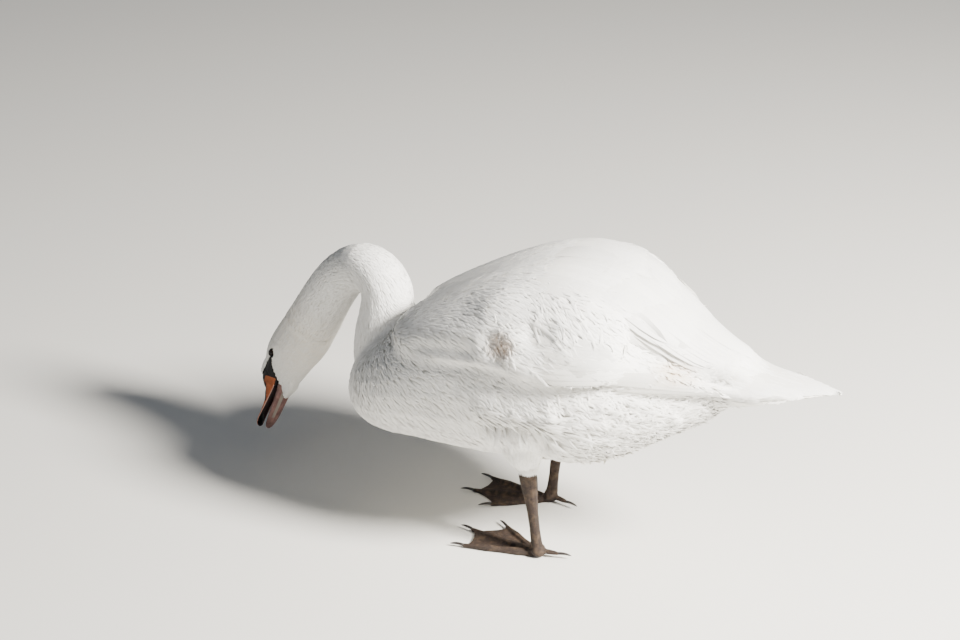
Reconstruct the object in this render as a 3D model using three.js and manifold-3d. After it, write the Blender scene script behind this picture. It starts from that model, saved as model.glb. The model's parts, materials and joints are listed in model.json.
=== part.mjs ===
// A mute swan that grazes with its neck arched over and its bill near the ground, at life size.
// Millimetres, +Z up. The bird faces -X, its left side is towards -Y, and its soles stand on one level.
// While it is built, X = 0 lies between the two heels and Z = 0 is the ground. The finished group is
// then moved so that its origin is at the bottom centre of its bounding box.
import * as THREE from "three";
import { mergeVertices } from "three/addons/utils/BufferGeometryUtils.js";
import Module from "manifold-3d";

const wasm = await Module();
wasm.setup();

// ---------------------------------------------------------------- driving dimensions

const GAP = 0.3; // clearance between pieces that touch
const FINEST = 0.1; // detail below this size is dropped from the finished pieces
const LEFT = -1; // the side towards -Y
const RIGHT = 1;

const BREAST_X = -281; // foremost point of the trunk
const RUMP_X = 268; // where the trunk ends under the tail
const GROOVE_DEPTH = 9; // how far the back dips between the two wings
const COVERTS_END_X = 158; // where the ruffled coverts of the wing end, low on its side
const TERTIAL_TIP_X = 291; // tips of the long inner feathers that roof the rump
const TAIL_TIP_X = 401;
const TAIL_TIP_Z = 284;

const HEEL_X = { [LEFT]: 24, [RIGHT]: -22 }; // the left foot stands a little further back
const ANKLE_AHEAD = { [LEFT]: 16, [RIGHT]: -12 }; // how far each ankle lies ahead of its heel
const HEEL_Y = 74; // half the distance between the feet
const ANKLE_Z = 124;
const TOE_IN = 12; // degrees that each foot points inwards
const TOE_SPREAD = 24; // degrees from the middle toe to each side toe
const TOE_LENGTH = { inner: 88, middle: 114, outer: 106 };
const TOE_RADIUS = 6.5;
const WEB_THICKNESS = 2.6;
const CLAW_LENGTH = 15;

const HEAD_AT = [-429, 60, 153]; // the eyes' station on the head's axis
const HEAD_PITCH = 64; // degrees that the head's axis points below the horizon
const HEAD_YAW = 14; // degrees that it turns to the bird's left
const HEAD_ROLL = 16; // degrees that the throat rolls to the bird's left
const EYE_TO_TIP = 123; // from the eyes' station to the tip of the bill
const EYE_RADIUS = 6;
const EYE_SPREAD = 22.5; // half the distance between the eyes' centres
const GAPE = 7.5; // degrees between the two halves of the bill

// ---------------------------------------------------------------- colours

const finish = (color, roughness) => new THREE.MeshStandardMaterial({ color, roughness, metalness: 0 });
const PLUMAGE = finish(0xf2f1ec, 0.9);
const FLIGHT_FEATHERS = finish(0xf7f6f2, 0.7);
const BILL_SKIN = finish(0xa85a35, 0.5);
const MANDIBLE_SKIN = finish(0x8a6a60, 0.55);
const BLACK_SKIN = finish(0x1b1a1a, 0.6);
const LEG_SKIN = finish(0x4a3a36, 0.65);
const CLAW_HORN = finish(0x242020, 0.45);
const EYE_GLASS = finish(0x120d0a, 0.08);

// ---------------------------------------------------------------- shaping tools

const radians = THREE.MathUtils.degToRad;
const vec = (x, y, z) => new THREE.Vector3(x, y, z);
const sideName = (side) => (side === LEFT ? "left" : "right");

// A smooth curve through the rows of a table: the first row at t = 0, the last at t = 1.
function between(rows, t) {
  const place = THREE.MathUtils.clamp(t, 0, 1) * (rows.length - 1);
  const i = Math.min(Math.floor(place), rows.length - 2);
  const u = place - i;
  const before = rows[Math.max(i - 1, 0)];
  const after = rows[Math.min(i + 2, rows.length - 1)];
  return rows[i].map((here, k) => {
    const next = rows[i + 1][k];
    const slope = (next - before[k]) / 2;
    const nextSlope = (after[k] - here) / 2;
    const rise = next - here;
    return here + u * (slope + u * (3 * rise - 2 * slope - nextSlope + u * (slope + nextSlope - 2 * rise)));
  });
}

// A three.js geometry as a closed solid, with each of its vertices moved by place(position).
function warped(base, place) {
  base.deleteAttribute("normal");
  base.deleteAttribute("uv");
  const merged = mergeVertices(base, 1e-5);
  const at = merged.getAttribute("position");
  const p = new THREE.Vector3();
  for (let i = 0; i < at.count; i++) {
    p.fromBufferAttribute(at, i);
    at.setXYZ(i, ...place(p).toArray());
  }
  const closed = mergeVertices(merged, 1e-4);
  const faces = [];
  for (let i = 0; i < closed.index.count; i += 3) {
    const [a, b, c] = [0, 1, 2].map((k) => closed.index.getX(i + k));
    if (a !== b && b !== c && a !== c) faces.push(a, b, c);
  }
  const make = (triVerts) =>
    new wasm.Manifold(
      new wasm.Mesh({
        numProp: 3,
        vertProperties: new Float32Array(closed.getAttribute("position").array),
        triVerts: new Uint32Array(triVerts),
      }),
    );
  const made = make(faces);
  if (made.volume() > 0) return made;
  for (let i = 0; i < faces.length; i += 3) [faces[i], faces[i + 1]] = [faces[i + 1], faces[i]];
  return make(faces);
}

// A blob from pole to pole: all angles of ring(t, angle) meet in one point at t = 0 and at t = 1.
function blob(ring, sides, rings) {
  const place = (p) => ring(Math.acos(THREE.MathUtils.clamp(p.y, -1, 1)) / Math.PI, Math.atan2(p.z, p.x));
  return warped(new THREE.SphereGeometry(1, sides, rings), place);
}

// A tube with flat ends: centre(t), and reach(t, angle) from there to its wall.
function tube(centre, reach, sides, rings) {
  const place = (p) => {
    const t = 0.5 - p.y;
    const out = Math.min(1, Math.hypot(p.x, p.z));
    return centre(t).add(reach(t, Math.atan2(p.z, p.x)).multiplyScalar(out));
  };
  return warped(new THREE.CylinderGeometry(1, 1, 1, sides, rings), place);
}

function block(low, high) {
  const size = high.clone().sub(low);
  const middle = low.clone().add(high).multiplyScalar(0.5);
  return warped(new THREE.BoxGeometry(size.x, size.y, size.z), (p) => p.clone().add(middle));
}

function ball(centre, radius, sides, rings) {
  return warped(new THREE.SphereGeometry(radius, sides, rings), (p) => p.clone().add(centre));
}

const join = (first, ...rest) => rest.reduce((all, next) => all.add(next), first);
const cut = (first, ...rest) => rest.reduce((left, next) => left.subtract(next), first);

// The largest body of a piece, without the slivers that a cut can leave.
function main(piece) {
  return piece.decompose().reduce((best, body) => (body.volume() > best.volume() ? body : best));
}

const swan = new THREE.Group();

function addPiece(name, piece, material) {
  const data = main(piece).simplify(FINEST).getMesh();
  const geometry = new THREE.BufferGeometry();
  geometry.setAttribute("position", new THREE.BufferAttribute(new Float32Array(data.vertProperties), 3));
  geometry.setIndex(new THREE.BufferAttribute(new Uint32Array(data.triVerts), 1));
  geometry.computeVertexNormals();
  const mesh = new THREE.Mesh(geometry, material);
  mesh.name = name;
  swan.add(mesh);
}

// ---------------------------------------------------------------- trunk

// Stations from the breast to the rump: x, height of the widest line, half width there, reach above it,
// reach below it.
const TRUNK = [
  [BREAST_X, 170, 0, 0, 0],
  [-272, 176, 46, 40, 34],
  [-248, 190, 82, 56, 66],
  [-208, 205, 112, 72, 88],
  [-158, 222, 130, 92, 101],
  [-100, 236, 140, 108, 116],
  [-40, 248, 144, 118, 126],
  [20, 258, 145, 124, 130],
  [75, 262, 141, 124, 131],
  [125, 264, 122, 112, 112],
  [172, 264, 95, 84, 83],
  [215, 266, 68, 56, 60],
  [248, 269, 44, 32, 36],
  [RUMP_X, 268, 0, 0, 0],
];

// The trunk, or with grow > 0 the room that it needs.
function trunk(grow) {
  const ring = (t, angle) => {
    const [x, middle, width, up, down] = between(TRUNK, t);
    const height = Math.sin(angle) > 0 ? up : down;
    const swell = width > 1 ? grow : 0;
    const end = t < 0.001 ? -grow : t > 0.999 ? grow : 0;
    return vec(
      x + end,
      Math.cos(angle) * (width + swell),
      middle + Math.sin(angle) * (height + swell),
    );
  };
  return blob(ring, 24, 20);
}

// ---------------------------------------------------------------- head and bill

// The head's own frame: X' runs along its axis towards the tip of the bill, Y' to the bird's left and Z'
// to the crown, from the eyes' station.
function makeHeadFrame() {
  const pitch = radians(HEAD_PITCH);
  const yaw = radians(HEAD_YAW);
  const forward = vec(-Math.cos(yaw) * Math.cos(pitch), -Math.sin(yaw) * Math.cos(pitch), -Math.sin(pitch));
  const left = vec(Math.sin(yaw), -Math.cos(yaw), 0).applyAxisAngle(forward, radians(HEAD_ROLL));
  const crown = forward.clone().cross(left);
  return new THREE.Matrix4().makeBasis(forward, left, crown).setPosition(...HEAD_AT);
}
const headFrame = makeHeadFrame();
const inHead = (x, y, z) => vec(x, y, z).applyMatrix4(headFrame);

// Stations of the head: x', z' of its middle, half width, reach to the crown, reach to the throat, and how
// much further ahead the throat's end of the station lies than its middle.
const HEAD_BACK = -56;
const HEAD = [
  [HEAD_BACK, -14, 34, 40, 40, 0],
  [-38, -13, 33.5, 41, 40, 0],
  [-20, -11, 32, 41, 39, 0],
  [-2, -8, 29.5, 38, 37, 0],
  [15, -6.5, 25, 34, 34.5, 3],
  [31, -5.5, 19.5, 30, 30.5, 9],
  [47, -5, 14.5, 25, 25, 15],
];

function head(grow) {
  const row = (t) => between(HEAD, t);
  const centre = (t) => {
    const [x, middle] = row(t);
    return inHead(x + (t > 0.999 ? grow : t < 0.001 ? -grow : 0), 0, middle);
  };
  const origin = inHead(0, 0, 0);
  const reach = (t, angle) => {
    const [, , width, crown, throat, lean] = row(t);
    const up = Math.sin(angle);
    const height = up > 0 ? crown : throat;
    return inHead(-lean * up, Math.cos(angle) * (width + grow), up * (height + grow)).sub(origin);
  };
  return tube(centre, reach, 18, 10);
}

// Stations of the upper half of the bill: x', half width, z' of the culmen, z' of the cutting edge.
const MAXILLA = [
  [18, 12, 16, -6],
  [34, 15, 20, -9],
  [48, 15, 16.5, -10.5],
  [60, 14, 7, -11],
  [74, 13.5, 0.5, -11],
  [92, 14, -3, -11],
  [108, 15, -5, -11.5],
  [118, 12.5, -7.5, -12.5],
  [EYE_TO_TIP, 6, -10.5, -14.5],
];
// The lower half, as it would lie with the bill shut: x', half width, z' of its upper edge, z' of its keel.
const MANDIBLE = [
  [18, 11, -12, -24],
  [40, 13, -12.5, -28],
  [58, 13, -12.5, -27],
  [76, 13.5, -12, -25],
  [94, 13.5, -12, -23],
  [110, 12.5, -12, -20.5],
  [120, 7, -12.5, -16.5],
];
const HINGE_X = 16;
const HINGE_Z = -10;

// One half of the bill: a flat face along its cutting edge and a rounded back. It hangs open by drop degrees.
function billHalf(rows, drop, grow) {
  const turn = radians(drop);
  const swing = (x, y, z) => {
    const ahead = (x - HINGE_X) * Math.cos(turn) + (z - HINGE_Z) * Math.sin(turn);
    const up = (z - HINGE_Z) * Math.cos(turn) - (x - HINGE_X) * Math.sin(turn);
    return inHead(HINGE_X + ahead, y, HINGE_Z + up);
  };
  const shape = (t) => {
    const [x, width, back, low] = between(rows, t);
    return rows === MAXILLA ? [x, width, low, back] : [x, width, back, low];
  };
  const centre = (t) => {
    const [x, , edge, back] = shape(t);
    return swing(x, 0, edge + (back - edge) * 0.4);
  };
  const reach = (t, angle) => {
    const [x, width, edge, back] = shape(t);
    const rise = Math.max(0, Math.sin(angle)) ** 0.85;
    const face = edge - Math.sign(back - edge) * grow;
    const height = face + (back + Math.sign(back - edge) * grow - face) * rise;
    return swing(x, Math.cos(angle) * (width + grow), height).sub(centre(t));
  };
  return tube(centre, reach, 12, 9);
}

// The black knob at the base of the culmen, and the hard nail at the bill's tip.
const KNOB_RADIUS = 8;
const knob = (grow) => ball(inHead(39, 0, 16.5), KNOB_RADIUS + grow, 10, 6);
function nail(grow) {
  const low = [108 - grow, -7.5 - grow, -20];
  const high = [140, 7.5 + grow, 10];
  return block(vec(...low), vec(...high)).transform(headFrame.toArray());
}

function eye(side, grow) {
  return ball(inHead(0, -side * EYE_SPREAD, 12.5), EYE_RADIUS + grow, 10, 7);
}

// ---------------------------------------------------------------- neck

// Stations of the neck's centre line from inside the breast to inside the head: x, y, z, half width, half
// depth.
const NECK = [
  [-203, 0, 170, 62, 62],
  [-228, 0, 203, 52, 54],
  [-237, 1, 240, 43, 45],
  [-236, 4, 274, 37.5, 39],
  [-238, 8, 302, 35.5, 36.5],
  [-251, 13, 321, 34, 34.5],
  [-276, 21, 328, 33, 33],
  [-304, 30, 316, 33, 33],
  [-328, 38, 293, 33, 34.5],
  [-350, 46, 263, 34, 36],
  [-371, 55, 230, 35, 38],
  [...inHead(HEAD_BACK, 0, -14).toArray(), 35, 40],
  [...inHead(HEAD_BACK + 20, 0, -13).toArray(), 35, 40],
];
const NECK_CUTS = [0.3, 0.62]; // shares of its length where the neck is divided
const NECK_GAP = 0.0003; // half the clearance there, as a share of its length

const neckLine = new THREE.CatmullRomCurve3(NECK.map(([x, y, z]) => vec(x, y, z)));

// A length of the neck between two shares of it, or with grow > 0 the room that it needs.
function neck(from, to, grow, rings) {
  const share = (t) => THREE.MathUtils.lerp(from, to, t);
  const reach = (t, angle) => {
    const ahead = neckLine.getTangent(share(t));
    const aside = vec(0, 1, 0).addScaledVector(ahead, -ahead.y).normalize();
    const upward = ahead.clone().cross(aside);
    const [, , , width, depth] = between(NECK, share(t));
    return aside
      .multiplyScalar(Math.cos(angle) * (width + grow))
      .addScaledVector(upward, Math.sin(angle) * (depth + grow));
  };
  return tube((t) => neckLine.getPoint(share(t)), reach, 18, rings);
}

// The part of a solid that lies ahead of a plane through point along way, or behind it.
function ahead(piece, point, way) {
  return piece.trimByPlane(way.toArray(), point.dot(way) + GAP / 2);
}
const behind = (piece, point, way) => ahead(piece, point, way.clone().negate());

// ---------------------------------------------------------------- wings

// Stations of a folded wing from its shoulder: x, y of the edge next to the midline, half width at its lower
// edge, height of its ridge, height of its lower edge, thickness.
const WING = [
  [-196, 52, 52, 290, 290, 0],
  [-186, 14, 88, 305, 281, 22],
  [-158, 0.6, 116, 327, 280, 30],
  [-110, 0.6, 136, 356, 284, 34],
  [-60, 0.6, 147, 383, 290, 36],
  [-10, 0.6, 152, 405, 293, 36],
  [38, 0.6, 153, 418, 289, 36],
  [82, 0.6, 149, 419, 290, 36],
  [118, 18, 139, 398, 294, 34],
  [146, 62, 126, 358, 302, 22],
  [COVERTS_END_X, 104, 104, 316, 316, 0],
];

// The long inner feathers that roof the rump: the same columns, from where they leave the wing.
const TERTIALS = [
  [50, 40, 40, 390, 390, 0],
  [64, 10, 84, 414, 360, 40],
  [94, 0.6, 96, 419, 366, 50],
  [120, 0.6, 88, 412, 369, 60],
  [142, 0.6, 80, 400, 365, 60],
  [162, 0.6, 77, 386, 350, 56],
  [186, 0.6, 71, 369, 332, 48],
  [208, 0.6, 63, 354, 317, 38],
  [228, 0.6, 53, 341, 306, 28],
  [248, 1, 41, 330, 307, 18],
  [270, 2, 27, 323, 311, 10],
  [TERTIAL_TIP_X, 12, 12, 317, 317, 0],
];

// A crescent that follows a table of stations on one side of the back.
function mantle(rows, side, grow, sides, rings) {
  const ring = (t, angle) => {
    const [x, inner, width, ridge, lower, thick] = between(rows, t);
    const turn = ((angle + 2 * Math.PI) % (2 * Math.PI)) / Math.PI;
    const outside = turn <= 1;
    const sweep = (outside ? turn : 2 - turn) * (Math.PI / 2);
    const swell = thick < 0.5 ? 0 : outside ? grow : -thick - grow;
    const across = Math.sin(sweep) ** (rows === WING ? 0.9 : 1);
    const rise = Math.cos(sweep) ** (rows === WING ? 0.95 : 1.1);
    const groove = GROOVE_DEPTH * Math.max(0, 1 - across / 0.24) ** 2 * Math.min(1, thick / 40);
    return vec(
      x,
      side * (inner - (thick > 0.5 ? grow : 0) + (width - inner + swell * 0.5 + grow) * across),
      lower - (thick > 0.5 ? grow : 0) + (ridge - lower + swell - groove + grow) * rise,
    );
  };
  return blob(ring, sides, rings);
}

// The bundle of primaries below the tertials: x, y, z, half width, half height.
const PRIMARIES = [
  [100, 112, 294, 0, 0],
  [110, 112, 295, 10, 14],
  [138, 104, 296, 12, 18],
  [172, 90, 294, 11, 18],
  [212, 74, 290, 8, 15],
  [250, 58, 284, 6, 9],
  [280, 46, 278, 3, 5],
  [292, 40, 275, 0, 0],
];

function primaries(side) {
  const ring = (t, angle) => {
    const [x, y, z, width, height] = between(PRIMARIES, t);
    return vec(x, side * (y + Math.cos(angle) * width), z + Math.sin(angle) * height);
  };
  return blob(ring, 9, 10);
}

// ---------------------------------------------------------------- tail

// Stations of the closed tail: x, half width, height of its upper face, thickness.
const TAIL = [
  [222, 0, 272, 0],
  [236, 40, 288, 34],
  [262, 52, 296, 46],
  [296, 50, 297, 36],
  [330, 41, 293, 21],
  [362, 27, 289.5, 10],
  [386, 13, 287, 5],
  [TAIL_TIP_X, 0, TAIL_TIP_Z, 0],
];

function tail(grow) {
  const ring = (t, angle) => {
    const [x, width, top, thick] = between(TAIL, t);
    const half = thick / 2;
    const swell = thick > 0.5 ? grow : 0;
    const droop = 0.12 * width * Math.cos(angle) ** 2;
    return vec(x, Math.cos(angle) * (width + swell), top - half + Math.sin(angle) * (half + swell) - droop);
  };
  return blob(ring, 14, 12);
}

// ---------------------------------------------------------------- legs

const ankle = (side) => vec(HEEL_X[side] - ANKLE_AHEAD[side], side * (HEEL_Y + 2), ANKLE_Z);

// Stations of the feathered thigh above the ankle: x from it, y outwards from it, z, half length, half width.
const THIGH = [
  [-4, 10, 262, 0, 0],
  [-4, 12, 248, 34, 22],
  [-4, 14, 214, 42, 30],
  [-3, 13, 182, 36, 30],
  [-3, 8, 153, 28, 23],
  [-1, 3, 137, 18, 17],
  [0, 0, 127, 13.5, 13],
  [0, 0, 119, 0, 0],
];

function thigh(side) {
  const at = ankle(side);
  const ring = (t, angle) => {
    const [x, out, z, long, wide] = between(THIGH, t);
    return vec(at.x + x + Math.cos(angle) * long, at.y + side * (out + Math.sin(angle) * wide), z);
  };
  return blob(ring, 12, 10);
}

// Stations of the bare shank: share of the way from the ankle to the heel, half length, half width.
const SHANK = [
  [-0.02, 11, 10],
  [0.07, 13, 10.5],
  [0.2, 11.5, 9],
  [0.38, 8.6, 7],
  [0.6, 7.2, 6],
  [0.78, 7.6, 6.8],
  [0.88, 8.8, 8],
];

function shank(side, grow) {
  const from = ankle(side);
  const heel = vec(HEEL_X[side], side * HEEL_Y, 0);
  const centre = (t) => {
    const end = t < 0.001 ? grow : t > 0.999 ? -grow : 0;
    return from.clone().lerp(heel, between(SHANK, t)[0]).add(vec(0, 0, end));
  };
  const reach = (t, angle) => {
    const [, long, wide] = between(SHANK, t);
    return vec(Math.cos(angle) * (long + grow), Math.sin(angle) * (wide + grow), 0);
  };
  return tube(centre, reach, 10, 7);
}

// ---------------------------------------------------------------- feet

const TOES = { inner: -TOE_SPREAD, middle: 0, outer: TOE_SPREAD };
const HEEL_RADIUS = 10.5;
const HEEL_RISE = 9.5; // height of the rounded heel's centre
const HIND_TOE = 30; // from the heel's middle to the end of the small hind toe

// The direction of a toe that is turned outwards from the foot's own line.
function toeWay(side, outward) {
  const turn = radians(outward - TOE_IN);
  return vec(-Math.cos(turn), side * Math.sin(turn), 0);
}

// A round limb on a straight line: size(t) is its radius, 0 at both ends.
function spindle(from, to, size, sides, rings) {
  const way = to.clone().sub(from).normalize();
  const aside = way.clone().cross(vec(0, 0, 1)).normalize();
  const upward = aside.clone().cross(way);
  const ring = (t, angle) => {
    const along = 0.5 - 0.5 * Math.cos(Math.PI * t);
    const radius = t < 0.001 || t > 0.999 ? 0 : size(along);
    return from
      .clone()
      .lerp(to, along)
      .addScaledVector(aside, Math.cos(angle) * radius)
      .addScaledVector(upward, Math.sin(angle) * radius);
  };
  return blob(ring, sides, rings);
}

function toe(side, name) {
  const way = toeWay(side, TOES[name]);
  const root = vec(HEEL_X[side], side * HEEL_Y, TOE_RADIUS * 0.55);
  const from = root.clone().addScaledVector(way, -TOE_RADIUS);
  const to = root.clone().addScaledVector(way, TOE_LENGTH[name]);
  const size = (s) => {
    const knuckles = 1 + 0.12 * Math.cos(s * 6 * Math.PI);
    return TOE_RADIUS * (4 * s * (1 - s)) ** 0.22 * (1 - 0.36 * s) * knuckles;
  };
  return spindle(from, to, size, 7, 8);
}

// The web: a thin sheet between the toes, scalloped from tip to tip.
function web(side) {
  const root = vec(HEEL_X[side], side * HEEL_Y, 0);
  const rim = (outward, reach) => root.clone().addScaledVector(toeWay(side, outward), reach);
  const { inner, middle, outer } = TOE_LENGTH;
  const tipIn = rim(TOES.inner, inner * 0.93);
  const bayIn = rim(TOES.inner / 2, middle * 0.72);
  const tipMid = rim(TOES.middle, middle * 0.94);
  const bayOut = rim(TOES.outer / 2, middle * 0.8);
  const tipOut = rim(TOES.outer, outer * 0.94);
  const outline = new THREE.Shape();
  outline.moveTo(root.x, root.y);
  outline.lineTo(tipIn.x, tipIn.y);
  outline.quadraticCurveTo(bayIn.x, bayIn.y, tipMid.x, tipMid.y);
  outline.quadraticCurveTo(bayOut.x, bayOut.y, tipOut.x, tipOut.y);
  outline.lineTo(root.x, root.y);
  const options = { depth: WEB_THICKNESS, bevelEnabled: false, curveSegments: 5 };
  return warped(new THREE.ExtrudeGeometry(outline, options), (p) => vec(p.x, p.y, p.z + 0.8));
}

const heelMiddle = (side) => vec(HEEL_X[side], side * HEEL_Y, HEEL_RISE);
const hindWay = (side) => vec(1, -side * 0.22, -0.08).normalize();
const hindTip = (side) => heelMiddle(side).addScaledVector(hindWay(side), HIND_TOE);

function hindToe(side) {
  const size = (s) => 4.4 * (4 * s * (1 - s)) ** 0.3 * (1 - 0.3 * s);
  return spindle(heelMiddle(side), hindTip(side), size, 6, 5);
}

const ground = block(vec(-600, -300, -60), vec(600, 300, 0));

function foot(side) {
  const toes = Object.keys(TOES).map((name) => toe(side, name));
  const heel = ball(heelMiddle(side), HEEL_RADIUS, 8, 6);
  return cut(join(web(side), heel, ...toes, hindToe(side)), ground, shank(side, GAP));
}

// A claw: a tapering horn, clear of the ground, that starts inside the toe's end.
function claw(from, way) {
  const to = from.clone().addScaledVector(way, CLAW_LENGTH);
  const size = (s) => 3.4 * (4 * s * (1 - s)) ** 0.3 * (1 - 0.7 * s);
  return spindle(from, to, size, 6, 4);
}

// ---------------------------------------------------------------- assembly

const trunkRoom = trunk(GAP);
addPiece("trunk", trunk(0), PLUMAGE);

const [lowCut, highCut] = NECK_CUTS;
const lowerNeck = neck(0, lowCut - NECK_GAP, 0, 9);
const middleNeck = neck(lowCut + NECK_GAP, highCut - NECK_GAP, 0, 9);
const upperNeck = neck(highCut + NECK_GAP, 1, 0, 9);
const lowerNeckRoom = neck(0, lowCut - NECK_GAP, GAP, 9);
const napePoint = inHead(HEAD_BACK, 0, 0);
const napeWay = inHead(HEAD_BACK + 1, 0, 0).sub(napePoint);
addPiece("neck_lower", cut(lowerNeck, trunkRoom), PLUMAGE);
addPiece("neck_middle", middleNeck, PLUMAGE);
addPiece("neck_upper", behind(upperNeck, napePoint, napeWay), PLUMAGE);

const headRoom = ahead(head(GAP), napePoint, napeWay);
addPiece("head", cut(ahead(head(0), napePoint, napeWay), eye(LEFT, GAP), eye(RIGHT, GAP)), PLUMAGE);
const upperBill = cut(billHalf(MAXILLA, 0, 0), headRoom);
addPiece("bill_knob", cut(knob(0), headRoom), BLACK_SKIN);
addPiece("bill_upper", cut(upperBill, knob(GAP), nail(GAP)), BILL_SKIN);
addPiece("bill_nail", upperBill.intersect(nail(0)), BLACK_SKIN);
const upperBillRoom = billHalf(MAXILLA, 0, GAP);
addPiece("bill_lower", cut(billHalf(MANDIBLE, GAPE, 0), headRoom, upperBillRoom), MANDIBLE_SKIN);

addPiece("tail", cut(tail(0), trunkRoom), FLIGHT_FEATHERS);
const tailRoom = tail(GAP);

for (const side of [LEFT, RIGHT]) {
  const name = sideName(side);
  addPiece(`eye_${name}`, eye(side, 0), EYE_GLASS);

  const ownSide = (piece) => ahead(piece, vec(0, 0, 0), vec(0, side, 0));
  const wing = cut(mantle(WING, side, 0, 20, 15), trunkRoom, lowerNeckRoom);
  const wingRoom = mantle(WING, side, GAP, 20, 15);
  const roof = cut(mantle(TERTIALS, side, 0, 16, 14), trunkRoom, tailRoom, wingRoom);
  const roofRoom = mantle(TERTIALS, side, GAP, 16, 14);
  addPiece(`wing_${name}`, ownSide(wing), PLUMAGE);
  addPiece(`tertials_${name}`, ownSide(roof), FLIGHT_FEATHERS);
  const bundle = cut(primaries(side), trunkRoom, tailRoom, wingRoom, roofRoom);
  addPiece(`primaries_${name}`, bundle, FLIGHT_FEATHERS);

  const shankRoom = shank(side, GAP);
  addPiece(`thigh_${name}`, cut(thigh(side), trunkRoom, shankRoom), PLUMAGE);
  addPiece(`shank_${name}`, shank(side, 0), LEG_SKIN);

  const footPiece = foot(side);
  addPiece(`foot_${name}`, footPiece, LEG_SKIN);
  const toeEnds = Object.entries(TOES).map(([toeName, outward]) => {
    const way = toeWay(side, outward);
    return [toeName, vec(HEEL_X[side], side * HEEL_Y, 4.4).addScaledVector(way, TOE_LENGTH[toeName]), way];
  });
  toeEnds.push(["hind", hindTip(side), hindWay(side)]);
  for (const [toeName, end, way] of toeEnds) {
    addPiece(`claw_${name}_${toeName}`, claw(end.addScaledVector(way, GAP), way), CLAW_HORN);
  }
}

const bounds = new THREE.Box3().setFromObject(swan);
const middle = bounds.getCenter(new THREE.Vector3());
for (const mesh of swan.children) mesh.geometry.translate(-middle.x, -middle.y, -bounds.min.z);

export default swan;
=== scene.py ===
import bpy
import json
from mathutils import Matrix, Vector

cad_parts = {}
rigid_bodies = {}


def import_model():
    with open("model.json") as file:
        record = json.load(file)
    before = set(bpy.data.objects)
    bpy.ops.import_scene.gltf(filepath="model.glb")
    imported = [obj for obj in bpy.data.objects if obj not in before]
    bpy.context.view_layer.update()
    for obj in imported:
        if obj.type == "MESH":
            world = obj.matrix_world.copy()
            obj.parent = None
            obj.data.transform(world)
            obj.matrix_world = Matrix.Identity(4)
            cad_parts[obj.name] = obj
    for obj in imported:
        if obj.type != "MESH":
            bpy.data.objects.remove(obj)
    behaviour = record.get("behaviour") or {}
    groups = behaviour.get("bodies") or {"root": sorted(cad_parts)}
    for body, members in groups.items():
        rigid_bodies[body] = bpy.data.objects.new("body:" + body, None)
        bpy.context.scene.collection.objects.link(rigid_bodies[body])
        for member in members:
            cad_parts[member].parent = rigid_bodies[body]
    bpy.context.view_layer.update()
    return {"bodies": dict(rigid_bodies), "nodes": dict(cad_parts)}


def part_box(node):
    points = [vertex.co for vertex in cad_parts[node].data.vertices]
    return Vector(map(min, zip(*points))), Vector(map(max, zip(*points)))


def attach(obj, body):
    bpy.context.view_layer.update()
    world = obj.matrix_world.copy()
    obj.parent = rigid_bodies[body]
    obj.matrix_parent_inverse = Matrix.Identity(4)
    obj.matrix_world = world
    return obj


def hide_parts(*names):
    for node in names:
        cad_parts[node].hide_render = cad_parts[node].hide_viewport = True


bl_info = {
    "name": "Grazing mute swan",
    "version": (1, 0, 0),
    "blender": (4, 5, 0),
    "location": "3D View > Sidebar > Swan",
    "description": "Dresses the CAD solids of a life-size mute swan with skin, plumage, bill and feet",
    "category": "Add Mesh",
}

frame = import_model()

import json
import math

import bpy
import numpy as np
from bpy.props import FloatProperty, FloatVectorProperty, PointerProperty
from mathutils import Vector
from mathutils.bvhtree import BVHTree

BODY = next(iter(frame["bodies"]))
SIDES = {"left": -1, "right": 1}  # the bird's left is towards -Y
# The tables give places in millimetres from the point midway between the heels: x towards the tail, y to the
# bird's right and z up from the floor.
HEELS_X = 35.724  # millimetres from the frame's origin to that point
PATCH = 0.003  # how wide one feather's patch is on the OFBake map
MOST_TRIANGLES = 195_000  # in one piece

FLESH = [
    "trunk", "neck_lower", "neck_middle", "neck_upper", "head", "tail",
    "wing_left", "wing_right", "tertials_left", "tertials_right",
    "primaries_left", "primaries_right", "thigh_left", "thigh_right",
]

# ------------------------------------------------------------------ places and colours


def place(points):
    """Millimetres from the point midway between the heels, as metres in the frame."""
    return (np.asarray(points, float) + [HEELS_X, 0, 0]) / 1000


def linear(colour):
    """An sRGB hex colour as linear red, green and blue."""
    parts = [int(colour[i : i + 2], 16) / 255 for i in (1, 3, 5)]
    return tuple(c / 12.92 if c <= 0.04045 else ((c + 0.055) / 1.055) ** 2.4 for c in parts)


def unit(vectors):
    """Vectors of length 1 along the given ones."""
    return vectors / np.maximum(np.linalg.norm(vectors, axis=-1, keepdims=True), 1e-12)


def turned(vectors, axes, angles):
    """Vectors turned about unit axes that are square to them."""
    angles = np.asarray(angles)[..., None]
    return vectors * np.cos(angles) + np.cross(axes, vectors) * np.sin(angles)


def between(rows, shares):
    """A smooth curve through the rows of a table, read at shares from 0, its first row, to 1, its last."""
    rows = np.asarray(rows, float)
    where = np.clip(shares, 0, 1) * (len(rows) - 1)
    i = np.minimum(where.astype(int), len(rows) - 2)
    u = (where - i)[:, None]
    here, after = rows[i], rows[i + 1]
    slope = (after - rows[np.maximum(i - 1, 0)]) / 2
    slope_after = (rows[np.minimum(i + 2, len(rows) - 1)] - here) / 2
    rise = after - here
    square = 3 * rise - 2 * slope - slope_after
    cube = slope + slope_after - 2 * rise
    return here + u * (slope + u * (square + u * cube))


# The head's own frame: x' along its axis to the tip of the bill, y' to the bird's left, z' to the crown,
# in millimetres from the eyes' station.
HEAD_AT = np.array([-429, 60, 153])
HEAD_PITCH, HEAD_YAW, HEAD_ROLL = (math.radians(a) for a in (64, 14, 16))


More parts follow.
